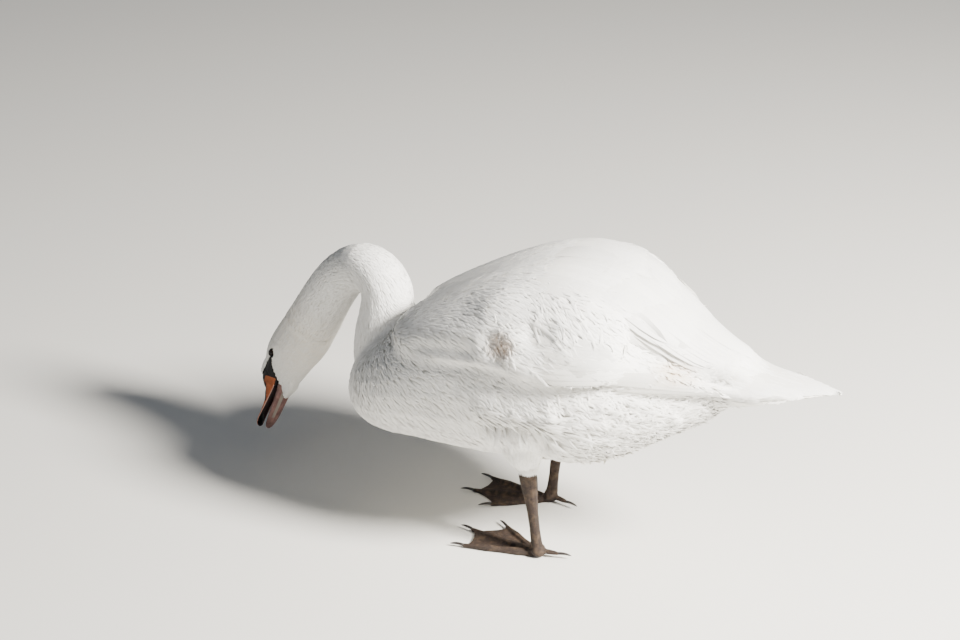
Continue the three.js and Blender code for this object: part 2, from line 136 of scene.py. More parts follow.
def head_axes():
    """The directions of x', y' and z' in the frame."""
    forward = np.array(
        [
            -math.cos(HEAD_YAW) * math.cos(HEAD_PITCH),
            -math.sin(HEAD_YAW) * math.cos(HEAD_PITCH),
            -math.sin(HEAD_PITCH),
        ]
    )
    level = np.array([math.sin(HEAD_YAW), -math.cos(HEAD_YAW), 0])
    left = turned(level, forward, HEAD_ROLL)
    return np.array([forward, left, np.cross(forward, left)])


HEAD_AXES = head_axes()


def in_head(points):
    """Places given in the head's own frame, as metres in the frame."""
    return place(HEAD_AT + np.asarray(points, float) @ HEAD_AXES)


def head_place(points):
    """Metres in the frame, as places in the head's own frame."""
    return (np.asarray(points) * 1000 - [HEELS_X, 0, 0] - HEAD_AT) @ HEAD_AXES.T


# ------------------------------------------------------------------ meshes


def new_piece(name, points, faces, material, replaces=(), maps=None, marks=None, normals=None):
    """A smooth mesh that rides on the bird. faces are arrays of quads and triangles, maps are UV maps with
    a place for each point, marks are numbers for each point, and normals shade it softer than its faces."""
    mesh = bpy.data.meshes.new(name)
    faces = [np.asarray(f) for f in faces if len(f)]
    corners = np.concatenate([f.ravel() for f in faces])
    sizes = np.concatenate([np.full(len(f), f.shape[1]) for f in faces])
    mesh.vertices.add(len(points))
    mesh.loops.add(len(corners))
    mesh.polygons.add(len(sizes))
    mesh.vertices.foreach_set("co", np.asarray(points, np.float32).ravel())
    mesh.loops.foreach_set("vertex_index", corners.astype(np.int32))
    starts = np.concatenate([[0], np.cumsum(sizes)[:-1]])
    mesh.polygons.foreach_set("loop_start", starts.astype(np.int32))
    for key, values in (maps or {}).items():
        layer = mesh.uv_layers.new(name=key)
        layer.uv.foreach_set("vector", np.asarray(values, np.float32)[corners].ravel())
    for key, values in (marks or {}).items():
        mesh.attributes.new(key, "FLOAT", "POINT").data.foreach_set("value", np.asarray(values, np.float32))
    mesh.update(calc_edges=True)
    mesh.validate()
    mesh.polygons.foreach_set("use_smooth", np.ones(len(mesh.polygons), bool))
    if normals is not None:
        soften(mesh, normals)
    mesh.materials.append(material)
    obj = bpy.data.objects.new(name, mesh)
    bpy.context.scene.collection.objects.link(obj)
    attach(obj, BODY)
    if replaces:
        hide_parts(*replaces)
    return obj


def soften(mesh, normals):
    """Shades a mesh with given normals for its points, turned round on the faces that look the other way."""
    corners = np.empty(len(mesh.loops), np.int32)
    mesh.loops.foreach_get("vertex_index", corners)
    sizes = np.empty(len(mesh.polygons), np.int32)
    mesh.polygons.foreach_get("loop_total", sizes)
    facing = np.empty(len(mesh.polygons) * 3, np.float32)
    mesh.polygons.foreach_get("normal", facing)
    given = normals[corners]
    agree = (given * np.repeat(facing.reshape(-1, 3), sizes, 0)).sum(1)
    starts = np.concatenate([[0], np.cumsum(sizes)[:-1]])
    whole = np.repeat(np.where(np.add.reduceat(agree, starts) < 0, -1.0, 1.0), sizes)
    mesh.normals_split_custom_set((given * whole[:, None]).astype(np.float32))


def node_mesh(name):
    """Points and triangles of a CAD node, with the points that its faces share made one."""
    mesh = frame["nodes"][name].data
    mesh.calc_loop_triangles()
    points = np.empty(len(mesh.vertices) * 3, np.float32)
    mesh.vertices.foreach_get("co", points)
    triangles = np.empty(len(mesh.loop_triangles) * 3, np.int32)
    mesh.loop_triangles.foreach_get("vertices", triangles)
    rounded, same = np.unique(np.round(points.reshape(-1, 3), 6), axis=0, return_inverse=True)
    triangles = same.ravel()[triangles].reshape(-1, 3)
    whole = (triangles[:, 0] != triangles[:, 1]) & (triangles[:, 1] != triangles[:, 2])
    whole &= triangles[:, 0] != triangles[:, 2]
    return rounded.astype(float), triangles[whole]


def normals_of(points, faces):
    """A normal for each point, weighted by the areas round it."""
    a, b = (faces[:, 2], faces[:, 0]) if faces.shape[1] == 4 else (faces[:, 1], faces[:, 0])
    c, d = (faces[:, 3], faces[:, 1]) if faces.shape[1] == 4 else (faces[:, 2], faces[:, 0])
    across = np.cross(points[a] - points[b], points[c] - points[d])
    total = np.zeros_like(points)
    for k in range(3):
        for corner in faces.T:
            total[:, k] += np.bincount(corner, across[:, k], len(points))
    return unit(total)


EVENING = (0.5, -0.53)  # shares of the way to the middle of the neighbours: towards it, then back


def evened(points, faces, times):
    """Points moved towards the middle of their neighbours and back out again, so that the mesh gets smoother
    and hardly smaller."""
    here, there = faces.ravel(), np.roll(faces, -1, 1).ravel()
    count = np.maximum(np.bincount(here, minlength=len(points)), 1)
    for share in EVENING * times:
        middle = np.stack([np.bincount(here, points[there, k], len(points)) / count for k in range(3)], -1)
        points = points + share * (middle - points)
    return points


def one_surface(names, voxel, swell, times, more=()):
    """One closed smooth surface round CAD nodes: their solids, and more closed meshes, are swollen a little
    so that they join, made one by a voxel remesh, smoothed, and drawn in again."""
    points, faces, start = [], [], 0
    for p, f in [node_mesh(name) for name in names] + list(more):
        points.append(p + normals_of(p, f) * swell)
        faces.append(f + start)
        start += len(p)
    mesh = bpy.data.meshes.new("solids")
    mesh.from_pydata(np.concatenate(points).tolist(), [], np.concatenate(faces).tolist())
    obj = bpy.data.objects.new("solids", mesh)
    bpy.context.scene.collection.objects.link(obj)
    remesh = obj.modifiers.new("one surface", "REMESH")
    remesh.mode = "VOXEL"
    remesh.voxel_size = voxel
    bpy.context.view_layer.update()
    made = obj.evaluated_get(bpy.context.evaluated_depsgraph_get()).to_mesh()
    at = np.empty(len(made.vertices) * 3, np.float32)
    made.vertices.foreach_get("co", at)
    quads = np.empty(len(made.loops), np.int32)
    made.loops.foreach_get("vertex_index", quads)
    bpy.data.objects.remove(obj)
    bpy.data.meshes.remove(mesh)
    at, quads = at.reshape(-1, 3).astype(float), quads.reshape(-1, 4)
    at = evened(at, quads, times)
    return at - normals_of(at, quads) * swell, quads


# ------------------------------------------------------------------ materials


def node(tree, kind, inputs=None, **settings):
    """Adds a shader node. inputs are values or other nodes' outputs, by socket."""
    made = tree.nodes.new("ShaderNode" + kind)
    for key, value in settings.items():
        setattr(made, key, value)
    for socket, value in (inputs or {}).items():
        if isinstance(value, bpy.types.NodeSocket):
            tree.links.new(value, made.inputs[socket])
        else:
            made.inputs[socket].default_value = value
    return made


def new_material(name, colour, roughness, **sockets):
    """A material with one Principled shader. Returns it, its node tree and the shader."""
    material = bpy.data.materials.new(name)
    material.use_nodes = True
    tree = material.node_tree
    shader = tree.nodes["Principled BSDF"]
    shader.inputs["Base Color"].default_value = (*colour, 1)
    shader.inputs["Roughness"].default_value = roughness
    for key, value in sockets.items():
        shader.inputs[key.replace("_", " ")].default_value = value
    return material, tree, shader


# The sockets that are used by number: a Mix of colours takes its factor at 0 and its two colours at 6 and 7,
# and gives the result at output 2. A MapRange takes its value at 0, the range that it reads at 1 and 2, and
# the range that it gives at 3 and 4.

# Stains on the plumage, and painted shade under the cloaks: middle in millimetres, how far it reaches each
# way, colour, strength.
STAINS_AND_SHADE = [
    ((-2, -146, 331), (29, 28, 25), "#A9825A", 0.68),  # mud at the bend of the left wing
    ((195, -70, 300), (60, 34, 20), "#C9A878", 0.55),  # painted shade in the hollow under the cloak of the left wing
    # painted shade in the hollow under the cloak of the right wing
    ((195, 70, 300), (60, 34, 20), "#C9A878", 0.55),
    ((110, 0, 150), (95, 110, 42), "#CDC6B0", 0.5),  # greyish beige over the underside of the belly
    ((-390, 55, 200), (95, 70, 110), "#F0E7D6", 0.6),  # the head and upper neck are a little creamy
]
SPECKS = ((130, 0, 165), (110, 130, 60), "#8F8468", 0.55)  # grit that clings to the belly

# Scales of the patterns: 1000 over the distance in millimetres between the things that they draw.
DIRT_SCALE = 160.0  # clots of dried mud, 6 mm
GRIT_SCALE = 420.0  # grains, 2.4 mm
GRAIN_SCALE = 90.0  # streaks in the bill's horn, 11 mm
WRINKLE_SCALE = 650.0  # wrinkles of bare skin, 1.5 mm
PLATE_SCALE = 520.0  # plates of the leg, 2 mm
WEAR_AND_HIGHLIGHT_SCALE = 120.0  # paler patches on the leg, partly worn skin and partly painted highlight, 8 mm
# Barbs lie about 0.5 mm apart. On the Vane map, where 1 is 10 mm, this draws them 1.4 mm apart, which is
# about as fine as a whole view can show.
BARB_SCALE = 3.2
BARB_DEPTH = 0.00004  # metres


def reach_of(tree, where, middle, reach):
    """A value that is 1 at the middle of a soft ellipsoid and 0 outside it."""
    off = node(tree, "VectorMath", {0: where, 1: tuple(place(middle))}, operation="SUBTRACT").outputs[0]
    shrink = tuple(1000 / r for r in reach)
    scaled = node(tree, "VectorMath", {0: off, 1: shrink}, operation="MULTIPLY").outputs[0]
    far = node(tree, "VectorMath", {0: scaled}, operation="LENGTH").outputs["Value"]
    fade = {0: far, 1: 1.0, 2: 0.25, 3: 0.0, 4: 1.0}
    return node(tree, "MapRange", fade, interpolation_type="SMOOTHSTEP").outputs[0]


def marked(tree, colour, where):
    """The plumage's colour with its stains, the painted shade under the cloaks, and specks."""
    clots = {"Vector": where, "Scale": DIRT_SCALE, "Detail": 3.0, "Roughness": 0.6}
    mottle = node(tree, "TexNoise", clots).outputs[0]
    # Most entries are stains; the two under the cloaks are painted shade.
    for middle, reach, stain_and_shade, strength in STAINS_AND_SHADE:
        soft = reach_of(tree, where, middle, reach)
        uneven = {0: mottle, 1: 0.35, 2: 0.65, 3: 0.35 * strength, 4: strength}
        patchy = node(tree, "MapRange", uneven).outputs[0]
        amount = node(tree, "Math", {0: soft, 1: patchy}, operation="MULTIPLY").outputs[0]
        layers = {0: amount, 6: colour, 7: (*linear(stain_and_shade), 1)}
        colour = node(tree, "Mix", layers, data_type="RGBA").outputs[2]
    middle, reach, stain_and_shade, strength = SPECKS
    grains = node(tree, "TexNoise", {"Vector": where, "Scale": GRIT_SCALE, "Detail": 1.0}).outputs[0]
    few = node(tree, "MapRange", {0: grains, 1: 0.64, 2: 0.7, 3: 0.0, 4: strength}).outputs[0]
    soft = reach_of(tree, where, middle, reach)
    amount = node(tree, "Math", {0: few, 1: soft}, operation="MULTIPLY").outputs[0]
    layers = {0: amount, 6: colour, 7: (*linear(stain_and_shade), 1)}
    return node(tree, "Mix", layers, data_type="RGBA").outputs[2]


def feather_material(name, tip, root, roughness, barbs=0.0, **sockets):
    """Feather keratin: dull white that goes greyer towards the downy root of each feather, partly the down's
    own grey and partly painted shade where each feather lies under the next. barbs is how deep the fine
    ridges across a vane look."""
    material, tree, shader = new_material(name, tip, roughness, **sockets)
    where = node(tree, "TexCoord").outputs["Object"]
    along = node(tree, "Attribute", attribute_name="along").outputs["Fac"]
    tone = node(tree, "Attribute", attribute_name="tone").outputs["Fac"]
    # Painted shade, partly the down's own grey: each feather goes greyer towards its root, where it lies
    # under the next.
    fade = node(tree, "MapRange", {0: along, 1: 0.1, 2: 0.8, 3: 0.0, 4: 1.0}).outputs[0]
    colour = node(tree, "Mix", {0: fade, 6: (*root, 1), 7: (*tip, 1)}, data_type="RGBA").outputs[2]
    shade = node(tree, "MapRange", {0: tone, 1: 0.0, 2: 1.0, 3: 0.9, 4: 1.0}).outputs[0]
    grey = node(tree, "CombineColor", {0: shade, 1: shade, 2: shade}).outputs[0]
    layers = {0: 1.0, 6: colour, 7: grey}
    colour = node(tree, "Mix", layers, data_type="RGBA", blend_type="MULTIPLY").outputs[2]
    tree.links.new(marked(tree, colour, where), shader.inputs["Base Color"])
    if barbs:
        vane = node(tree, "UVMap", uv_map="Vane").outputs[0]
        ridges = {"Vector": vane, "Scale": BARB_SCALE, "Distortion": 1.5, "Detail": 1.0, "Detail Scale": 2.0}
        wave = node(tree, "TexWave", ridges, bands_direction="DIAGONAL").outputs["Fac"]
        bump = node(tree, "Bump", {"Strength": 1.0, "Distance": barbs, "Height": wave})
        tree.links.new(bump.outputs[0], shader.inputs["Normal"])
    return material


def down_material(down):
    """Down and skin between the feathers: matt, a little greyer than the tips, partly the down's own grey and
    partly painted shade in the gaps between the feathers.
    """
    material, tree, shader = new_material("down over skin", down, 0.95)
    where = node(tree, "TexCoord").outputs["Object"]
    tree.links.new(marked(tree, (*down, 1), where), shader.inputs["Base Color"])
    return material


# ------------------------------------------------------------------ the form that the plumage follows

# Hollows and swellings of the plumage: from, to, width, and how far out (or in, below 0), in millimetres.
# y is counted outwards from the midline, so that each stands on both sides.
RELIEF = [
    ((-135, 128, 296), (-52, 145, 312), 13, -7),  # crease between the shoulder and the breast
    ((-14, 145, 332), (-4, 148, 322), 13, -6),  # the bend of the wing
    ((44, 136, 352), (54, 132, 350), 15, -7),  # hollow behind it
    ((-30, 112, 372), (-14, 108, 376), 26, 4),  # the shoulder's muscle
    ((14, 150, 306), (34, 152, 304), 18, 4),  # flank feathers that bulge over the wing's edge
    ((12, 129, 203), (12, 108, 158), 19, 7),  # the thigh's muscle
    ((-24, 138, 214), (38, 138, 221), 8, -10),  # the crease over it, below the edge of the flank
    ((46, 134, 213), (50, 120, 186), 8, -9),
    ((-24, 143, 236), (66, 141, 241), 13, 6),
    ((156, 94, 334), (200, 66, 312), 13, -2),  # hollow under the cloak
]
# Soft folds that stand on one side only.
FOLDS = [
    ((-414, 46, 227), (-384, 36, 214), 9, -2.6),  # where the head turns on the neck
    ((-384, 36, 214), (-353, 34, 205), 9, -2.2),
]
# Where the feathers cover the edges of the solids: from, to and width. Each point there moves a share of the
# way to the middle of its neighbours, again and again.
SETTLING, SETTLING_ROUNDS = 0.6, 120
SETTLED = [
    ((-160, 0, 318), (-60, 0, 385), 26),
    ((-60, 0, 385), (40, 0, 418), 26),
    ((40, 0, 418), (150, 0, 405), 26),
    ((150, 0, 400), (290, 0, 312), 26),
    ((-160, 110, 290), (-52, 145, 312), 24),
    ((-52, 145, 312), (30, 152, 302), 24),
    ((64, 30, 410), (72, 84, 392), 24),
    ((120, 84, 378), (158, 84, 352), 20),
    ((130, 40, 392), (230, 30, 330), 40),
    ((158, 84, 350), (160, 104, 318), 16),
    ((230, 42, 304), (292, 4, 306), 22),
    ((266, 4, 268), (262, 46, 266), 20),
]
# Tousled patches: middle, reach, how many ridges, and the length, width and height of each.
RIDGE_SWING = 0.25  # how much their ways vary, in radians
RIDGE_REACH = 14  # how far above and below the surface a ridge still works, in millimetres
TOUSLED = [
    ((96, 116, 358), (62, 50, 48), 46, 38, 7, 3.2),  # the ruffled coverts
    ((6, 146, 334), (32, 20, 22), 22, 14, 6, 2.2),  # the bend of the wing
    ((150, 100, 200), (110, 60, 70), 80, 16, 9, 3.4),  # the hind flank
    ((10, 130, 245), (80, 30, 26), 30, 22, 8, 2.0),  # the edge of the flank
]
# The same on the head, in its own frame.
HEAD_RELIEF = [
    ((-4, 25, 13), (6, 25, 12), 9, 1.6),  # the rim of the orbit
    ((10, 26, 8), (34, 18, 2), 9, -1.2),  # the lores are flatter than the cheek
]

# Fillings of down where the solids stand apart below the plumage: x, half width, z of the top and of the
# underside.
MIDLINE = [  # between the wings, down the middle of the back
    (-118, 14, 345, 320), (-80, 18, 366.5, 330), (-40, 18, 386.5, 350), (0, 16, 401.5, 360),
    (40, 14, 411, 370), (80, 12, 412.5, 370), (120, 12, 406, 360), (160, 12, 382.5, 345),
    (200, 12, 355, 320), (240, 12, 331, 300),
]
TAIL_COVERTS = [  # from the cloak onto the tail
    (226, 48, 334, 284), (245, 46, 325.5, 283), (262, 43, 316.5, 282), (280, 38, 307.5, 281),
    (294, 34, 299, 280), (308, 28, 293, 279),
]
VENT = [  # below the tail
    (226, 42, 290, 238), (244, 42, 288, 241.5), (262, 42, 286, 246), (282, 40, 284, 251.5),
    (302, 36, 283, 257.5), (320, 31, 282, 265.5), (336, 24, 282, 273.5),
]
HAUNCH = [  # from the end of each wing to the cloak
    (132, 12, 334, 300), (150, 13, 331, 298), (168, 12, 322, 296), (186, 11, 314.5, 294), (204, 9, 309, 292),
]
HAUNCH_Y = (100, 94, 78, 64, 52)  # how far out the middle of each row of HAUNCH lies
# The same in the head's own frame.
FOREHEAD = [  # the wedge of feathers that runs down onto the bill
    (22, 12, 23.5, 0), (28, 11.5, 24.4, 2), (34, 10.5, 24, 5), (40, 9, 23.2, 7), (45.5, 7.4, 22.6, 9),
    (50.8, 4.4, 20.8, 12),
]
CHIN = [  # the point of feathers under the chin, between the branches of the lower bill
    (32, 15.5, -12, -36), (41, 15.8, -18, -37.8), (48, 14.6, -23, -36.4), (54, 12, -26.5, -34.6),
    (59, 8, -28.5, -33), (62.5, 4, -29.5, -32),
]

# Which way the plumage lies: place and direction, x and z in the frame's way and y outwards.
LIE = [
    ((-268, 0, 175), (0.3, 0, -1)),
    ((-258, 60, 190), (0.45, 0.45, -0.8)),
    ((-225, 95, 215), (0.9, 0.3, -0.6)),
    ((-240, 0, 120), (0.9, 0, -0.5)),
    ((-180, 115, 205), (1, 0, -0.5)),
    ((-180, 60, 120), (1, 0, -0.2)),
    ((-190, 0, 285), (1, 0, 0.6)),
    ((-150, 60, 320), (1, 0.15, 0.3)),
    ((-120, 130, 285), (1, 0, -0.2)),
    ((-80, 135, 190), (1, 0, -0.4)),
    ((-60, 0, 385), (1, 0, 0.15)),
    ((-40, 100, 370), (1, 0.2, -0.3)),
    ((-20, 148, 315), (1, 0, -0.25)),
    ((0, 143, 225), (1, 0, -0.45)),
    ((0, 60, 130), (1, 0, 0)),
    ((45, 138, 250), (1, 0, -0.4)),
    ((50, 110, 395), (1, 0.3, -0.7)),
    ((100, 128, 350), (1, 0.1, -0.8)),
    ((80, 148, 310), (1, 0, -0.1)),
    ((140, 120, 320), (1, -0.1, -0.05)),
    ((60, 30, 418), (1, 0.1, 0)),
    ((150, 40, 400), (1, 0, -0.5)),
    ((90, 120, 215), (1, -0.1, -0.25)),
    ((8, 129, 200), (0.35, 0, -1)),
    ((12, 112, 168), (0.15, 0, -1)),
    ((100, 40, 145), (1, 0, 0.1)),
    ((180, 80, 250), (1, -0.2, 0.05)),
    ((220, 40, 230), (1, -0.1, 0.35)),
    ((220, 40, 340), (1, -0.1, -0.45)),
    ((290, 30, 290), (1, 0, -0.05)),
    ((380, 0, 285), (1, 0, 0)),
]
# The neck's middle line from the bill to the breast: feathers lie along it.
NECK_LINE = [
    (-452, 54, 104), (-429, 60, 153), (-402, 63, 180), (-392, 65, 197), (-371, 55, 230), (-350, 46, 263),
    (-328, 38, 293), (-304, 30, 316), (-276, 21, 328), (-251, 13, 321), (-238, 8, 302), (-236, 4, 274),
    (-237, 1, 240), (-236, 0, 205),
]
# How far the skin lies below the outside of the plumage, in millimetres.
COAT_DEPTH = {
    "head": 1.2, "neck_upper": 1.8, "neck_middle": 2.0, "neck_lower": 2.4, "trunk": 3.4, "wing": 2.6,
    "tertials": 1.8, "primaries": 2.2, "tail": 1.6, "thigh": 3.0,
}
BARE_DEPTH = 4.5  # the same below the bill and the lores
LEAST_DEPTH = 0.6  # and everywhere at least
DEEPEST = 0.42  # the most that it lies below, as a share of the form's thickness there


def lie_table():
    """Places and directions of the plumage's lie, over both sides and down the neck."""
    spots, ways = [], []
    for side in SIDES.values():
        for (x, y, z), (dx, dy, dz) in LIE:
            spots.append((x, side * y, z))
            ways.append((dx, side * dy, dz))
    line = np.array(NECK_LINE, float)
    for here, after in zip(line[:-1], line[1:]):
        for share in (0.25, 0.75):
            spots.append(here + (after - here) * share)
            ways.append(after - here)
    return place(spots), unit(np.array(ways, float))


LIE_AT, LIE_WAY = lie_table()
LIE_BLEND = 0.018  # metres over which one direction passes into the next
THIGH_LIE = (0.1, 0, -1)


def lie_of(points, normals, thigh):
    """Unit directions along the surface from the root to the tip of a feather that grows at each point."""
    off = points[:, None] - LIE_AT
    weight = 1 / ((off**2).sum(-1) + LIE_BLEND**2) ** 2
    way = (weight[..., None] * LIE_WAY).sum(1) / weight.sum(1)[:, None]
    way[thigh] = THIGH_LIE
    way = unit(way)
    return unit(way - (way * normals).sum(-1, keepdims=True) * normals)


def filling(rows, placed):
    """A closed blunt bar through the rows of a table."""
    x, wide, top, low = (c[:, None] for c in between(rows, np.linspace(0, 1, 40)).T)
    turn = np.linspace(0, 2 * math.pi, 24, endpoint=False)
    across, up = (np.sign(v) * np.abs(v) ** 0.7 for v in (np.cos(turn), np.sin(turn)))
    y, z = across * wide, (top + low) / 2 + (top - low) / 2 * up
    points, fours, threes = tube(np.stack([np.broadcast_to(x, y.shape), y, z], -1))
    return placed(points), np.concatenate([threes, fours[:, :3], fours[:, [0, 2, 3]]])


def haunch(side):
    """The filling between the end of one wing and the cloak."""

    def placed(points):
        points = points.copy()
        points[:, 1] += side * np.interp(points[:, 0], [row[0] for row in HAUNCH], HAUNCH_Y)
        return place(points)

    return filling(HAUNCH, placed)


def fillings():
    """Every filling, as closed meshes in the frame."""
    made = [filling(rows, place) for rows in (MIDLINE, TAIL_COVERTS, VENT)]
    made += [filling(rows, in_head) for rows in (FOREHEAD, CHIN)]
    return made + [haunch(side) for side in SIDES.values()]


class Form:
    """The outside of the plumage as one smooth surface, and the skin below it."""

    def __init__(self):
        self.points, self.quads = one_surface(FLESH, voxel=0.0027, swell=0.0008, times=7, more=fillings())
        self.normals = normals_of(self.points, self.quads)
        self.find_regions()
        self.settle()
        self.carve()
        self.tousle()
        self.tree = BVHTree.FromPolygons(self.points.tolist(), self.quads.tolist())
        corners = self.points[self.quads]
        self.middles = corners.mean(1)
        crossed = np.cross(corners[:, 2] - corners[:, 0], corners[:, 3] - corners[:, 1])
        self.areas = np.linalg.norm(crossed, axis=1) / 2

    def find_regions(self):
        """Finds, for each quad and point, the CAD node that it lies nearest to."""
        points, faces, owner, start = [], [], [], 0
        for k, name in enumerate(FLESH):
            p, f = node_mesh(name)
            points += p.tolist()
            faces += (f + start).tolist()
            owner += [k] * len(f)
            start += len(p)
        self.solids = BVHTree.FromPolygons(points, faces)
        find = self.solids.find_nearest
        self.point_region = np.array([owner[find(p)[2]] for p in self.points.tolist()])
        self.region = self.point_region[self.quads[:, 0]]

    def within(self, *names):
        """Which quads belong to CAD nodes whose names start with one of these words."""
        wanted = [k for k, name in enumerate(FLESH) if name.startswith(names)]
        return np.isin(self.region, wanted)

    def near(self, a, b, width):
        """How near each point is to the line from a to b: 1 on it, and fading over width millimetres."""
        along = b - a
        share = np.clip((self.points - a) @ along / (along @ along), 0, 1)
        far = np.linalg.norm(self.points - (a + share[:, None] * along), axis=1)
        return np.exp(-((far * 1000 / width) ** 2))

    def neighbours(self):
        """The ends of every edge, one way round each quad, and how many edges start at each point."""
        here, there = self.quads.ravel(), np.roll(self.quads, -1, 1).ravel()
        return here, there, np.bincount(here, minlength=len(self.points))

    def settle(self):
        """Smooths away the edges of the solids where feathers cover them."""
        here, there, count = self.neighbours()
        pull = np.zeros(len(self.points))
        for a, b, width in SETTLED:
            for side in SIDES.values():
                pull = np.maximum(pull, self.near(*(place([a, b]) * [1, side, 1]), width))
        pull = SETTLING * np.minimum(1.5 * pull, 1)[:, None]  # full near each line
        for _ in range(SETTLING_ROUNDS):
            middle = np.stack([np.bincount(here, self.points[there, k]) / count for k in range(3)], -1)
            self.points += pull * (middle - self.points)
        self.normals = normals_of(self.points, self.quads)

    def carve(self):
        """Presses hollows into the form and raises swellings on it."""
        rows = []
        for a, b, width, out in RELIEF:
            rows += [(place([a, b]) * [1, side, 1], width, out) for side in SIDES.values()]
        for a, b, width, out in HEAD_RELIEF:
            rows += [(in_head(np.array([a, b]) * [1, -side, 1]), width, out) for side in SIDES.values()]
        rows += [(place([a, b]), width, out) for a, b, width, out in FOLDS]
        for (a, b), width, out in rows:
            self.points += self.normals * (out / 1000 * self.near(a, b, width))[:, None]
        self.normals = normals_of(self.points, self.quads)

    def tousle(self):
        """Raises short ridges along the lie where the plumage is ruffled, as clumps of feathers stand."""
        rng = np.random.default_rng(7)
        push = np.zeros(len(self.points))
        for middle, reach, count, length, width, height in TOUSLED:
            for side in SIDES.values():
                off = (self.points - place(middle) * [1, side, 1]) * 1000 / reach
                inside = np.flatnonzero((off**2).sum(1) < 1)
                for k in rng.choice(inside, count):
                    spot, normal = self.points[k], self.normals[k]
                    way = lie_of(spot[None], normal[None], np.zeros(1, bool))[0]
                    way = turned(way, normal, rng.normal(0, RIDGE_SWING))
                    gap = (self.points[inside] - spot) * 1000
                    ahead = gap @ way / length
                    across = gap @ np.cross(normal, way) / width
                    out = gap @ normal / RIDGE_REACH
                    ridge = np.exp(-(ahead**2) - across**2 - out**2)
                    push[inside] = np.maximum(push[inside], ridge * rng.uniform(0.5, 1) * height)
        self.points += self.normals * (push / 1000)[:, None]
        self.normals = normals_of(self.points, self.quads)

    def dropped(self, starts, ways, reach):
        """How far off the form is from each start, along unit ways; NaN where it isn't within reach."""
        far = np.full(len(starts), np.nan)
        cast = self.tree.ray_cast
        for k, (start, way) in enumerate(zip(starts.tolist(), ways.tolist())):
            distance = cast(start, way, reach)[3]
            if distance is not None:
                far[k] = distance
        return far

    def beyond(self):
        """How far each point stands outside the CAD solids, in metres, up to 15 mm."""
        spots = np.array([self.solids.find_nearest(p)[0] for p in self.points.tolist()])
        return np.clip(((self.points - spots) * self.normals).sum(1), 0, 0.015)

    def thickness(self):
        """How thick the form is behind each point, in metres, up to 20 mm."""
        most, clear = 0.02, 0.0002
        far = self.dropped(self.points - self.normals * clear, -self.normals, most)
        return np.where(np.isnan(far), most, far)

    def depth(self):
        """How far in the skin lies at each point, in metres: never as far as its own other side."""
        keys = [name if name.startswith("neck") else name.split("_")[0] for name in FLESH]
        deep = np.array([COAT_DEPTH[key] for key in keys])[self.point_region] / 1000
        head = self.point_region == FLESH.index("head")
        deep[head & bare_face(self.points)] = BARE_DEPTH / 1000
        deep += self.beyond()
        here, there, count = self.neighbours()
        for _ in range(8):
            deep = np.bincount(here, deep[there], len(deep)) / count
        return np.minimum(deep, DEEPEST * self.thickness())

    def skin(self):
        """The skin's points, one for each of the form's."""
        inner = evened(self.points - self.normals * self.depth()[:, None], self.quads, 6)
        spots, normals, _ = self.nearest(inner)
        least = LEAST_DEPTH / 1000
        bare = ((inner - spots) * normals).sum(1) > -least
        inner[bare] = spots[bare] - normals[bare] * least
        return inner

    def nearest(self, points):
        """The nearest places on the form, the smooth normals there and their quads."""
        spots, quads = np.empty_like(points), np.empty(len(points), int)
        find = self.tree.find_nearest
        for k, p in enumerate(points.tolist()):
            spots[k], _, quads[k], _ = find(p)
        corners = self.points[self.quads[quads]]
        weight = 1 / (np.linalg.norm(corners - spots[:, None], axis=-1) + 1e-5)
        normals = (self.normals[self.quads[quads]] * weight[..., None]).sum(1)
        return spots, unit(normals), quads


form = None  # made by the skin's operator and read by those of the plumage
TRIES = 7  # places tried for each one that fits
CELLS_ROUND = [(i, j, k) for i in (-1, 0, 1) for j in (-1, 0, 1) for k in (-1, 0, 1)]


def scattered(chosen, spacing, seed):
    """Random places on the chosen quads of the form, no two nearer than spacing (a number or one for each
    quad, in metres). Returns the places and their quads."""
    rng = np.random.default_rng(seed)
    quads = np.flatnonzero(chosen)
    space = np.broadcast_to(spacing, len(form.quads))[quads]
    share = form.areas[quads] / space**2
    tries = rng.choice(len(quads), int(share.sum() * TRIES), p=share / share.sum())
    u, v = rng.random((2, len(tries), 1))
    a, b, c, d = form.points[form.quads[quads[tries]]].transpose(1, 0, 2)
    spots = (a * (1 - u) + b * u) * (1 - v) + (d * (1 - u) + c * u) * v
    near = space[tries]
    cells = np.floor(spots / near.max()).astype(int).tolist()
    held, kept = {}, []
    for n, (spot, cell, limit) in enumerate(zip(spots.tolist(), cells, (near**2).tolist())):
        if fits(spot, cell, limit, held):
            held.setdefault(tuple(cell), []).append(spot)
            kept.append(n)
    return spots[kept], quads[tries[kept]]


def fits(spot, cell, limit, held):
    """Whether no place that is held in this cell or next to it lies nearer than the root of limit."""
    (px, py, pz), (x, y, z) = spot, cell
    for i, j, k in CELLS_ROUND:
        for qx, qy, qz in held.get((x + i, y + j, z + k), ()):
            if (px - qx) ** 2 + (py - qy) ** 2 + (pz - qz) ** 2 < limit:
                return False
    return True


# ------------------------------------------------------------------ feathers

# On the Vane map a feather has its true size, one unit for 10 mm, and each lies a step beside the last.
VANE_UNIT, VANE_STEP = 100, 3.7
# Sections across a feather: places from edge to edge (-1 to 1) and above its middle, in thicknesses.
LOCK_SECTION = [(-1, 0), (0, 1), (1, 0)]
VANE_SECTION = [
    (-1, 0), (-0.55, 0.5), (-0.07, 0.7), (0, 1.5), (0.07, 0.7), (0.55, 0.5), (1, 0), (0.5, -0.4),
    (0, -0.6), (-0.5, -0.4),
]
# How much the sizes of small feathers vary, the least and the most, and how far their edges drop.
VARY, VARY_WITHIN = 0.2, (0.55, 1.5)
CUP = 0.12
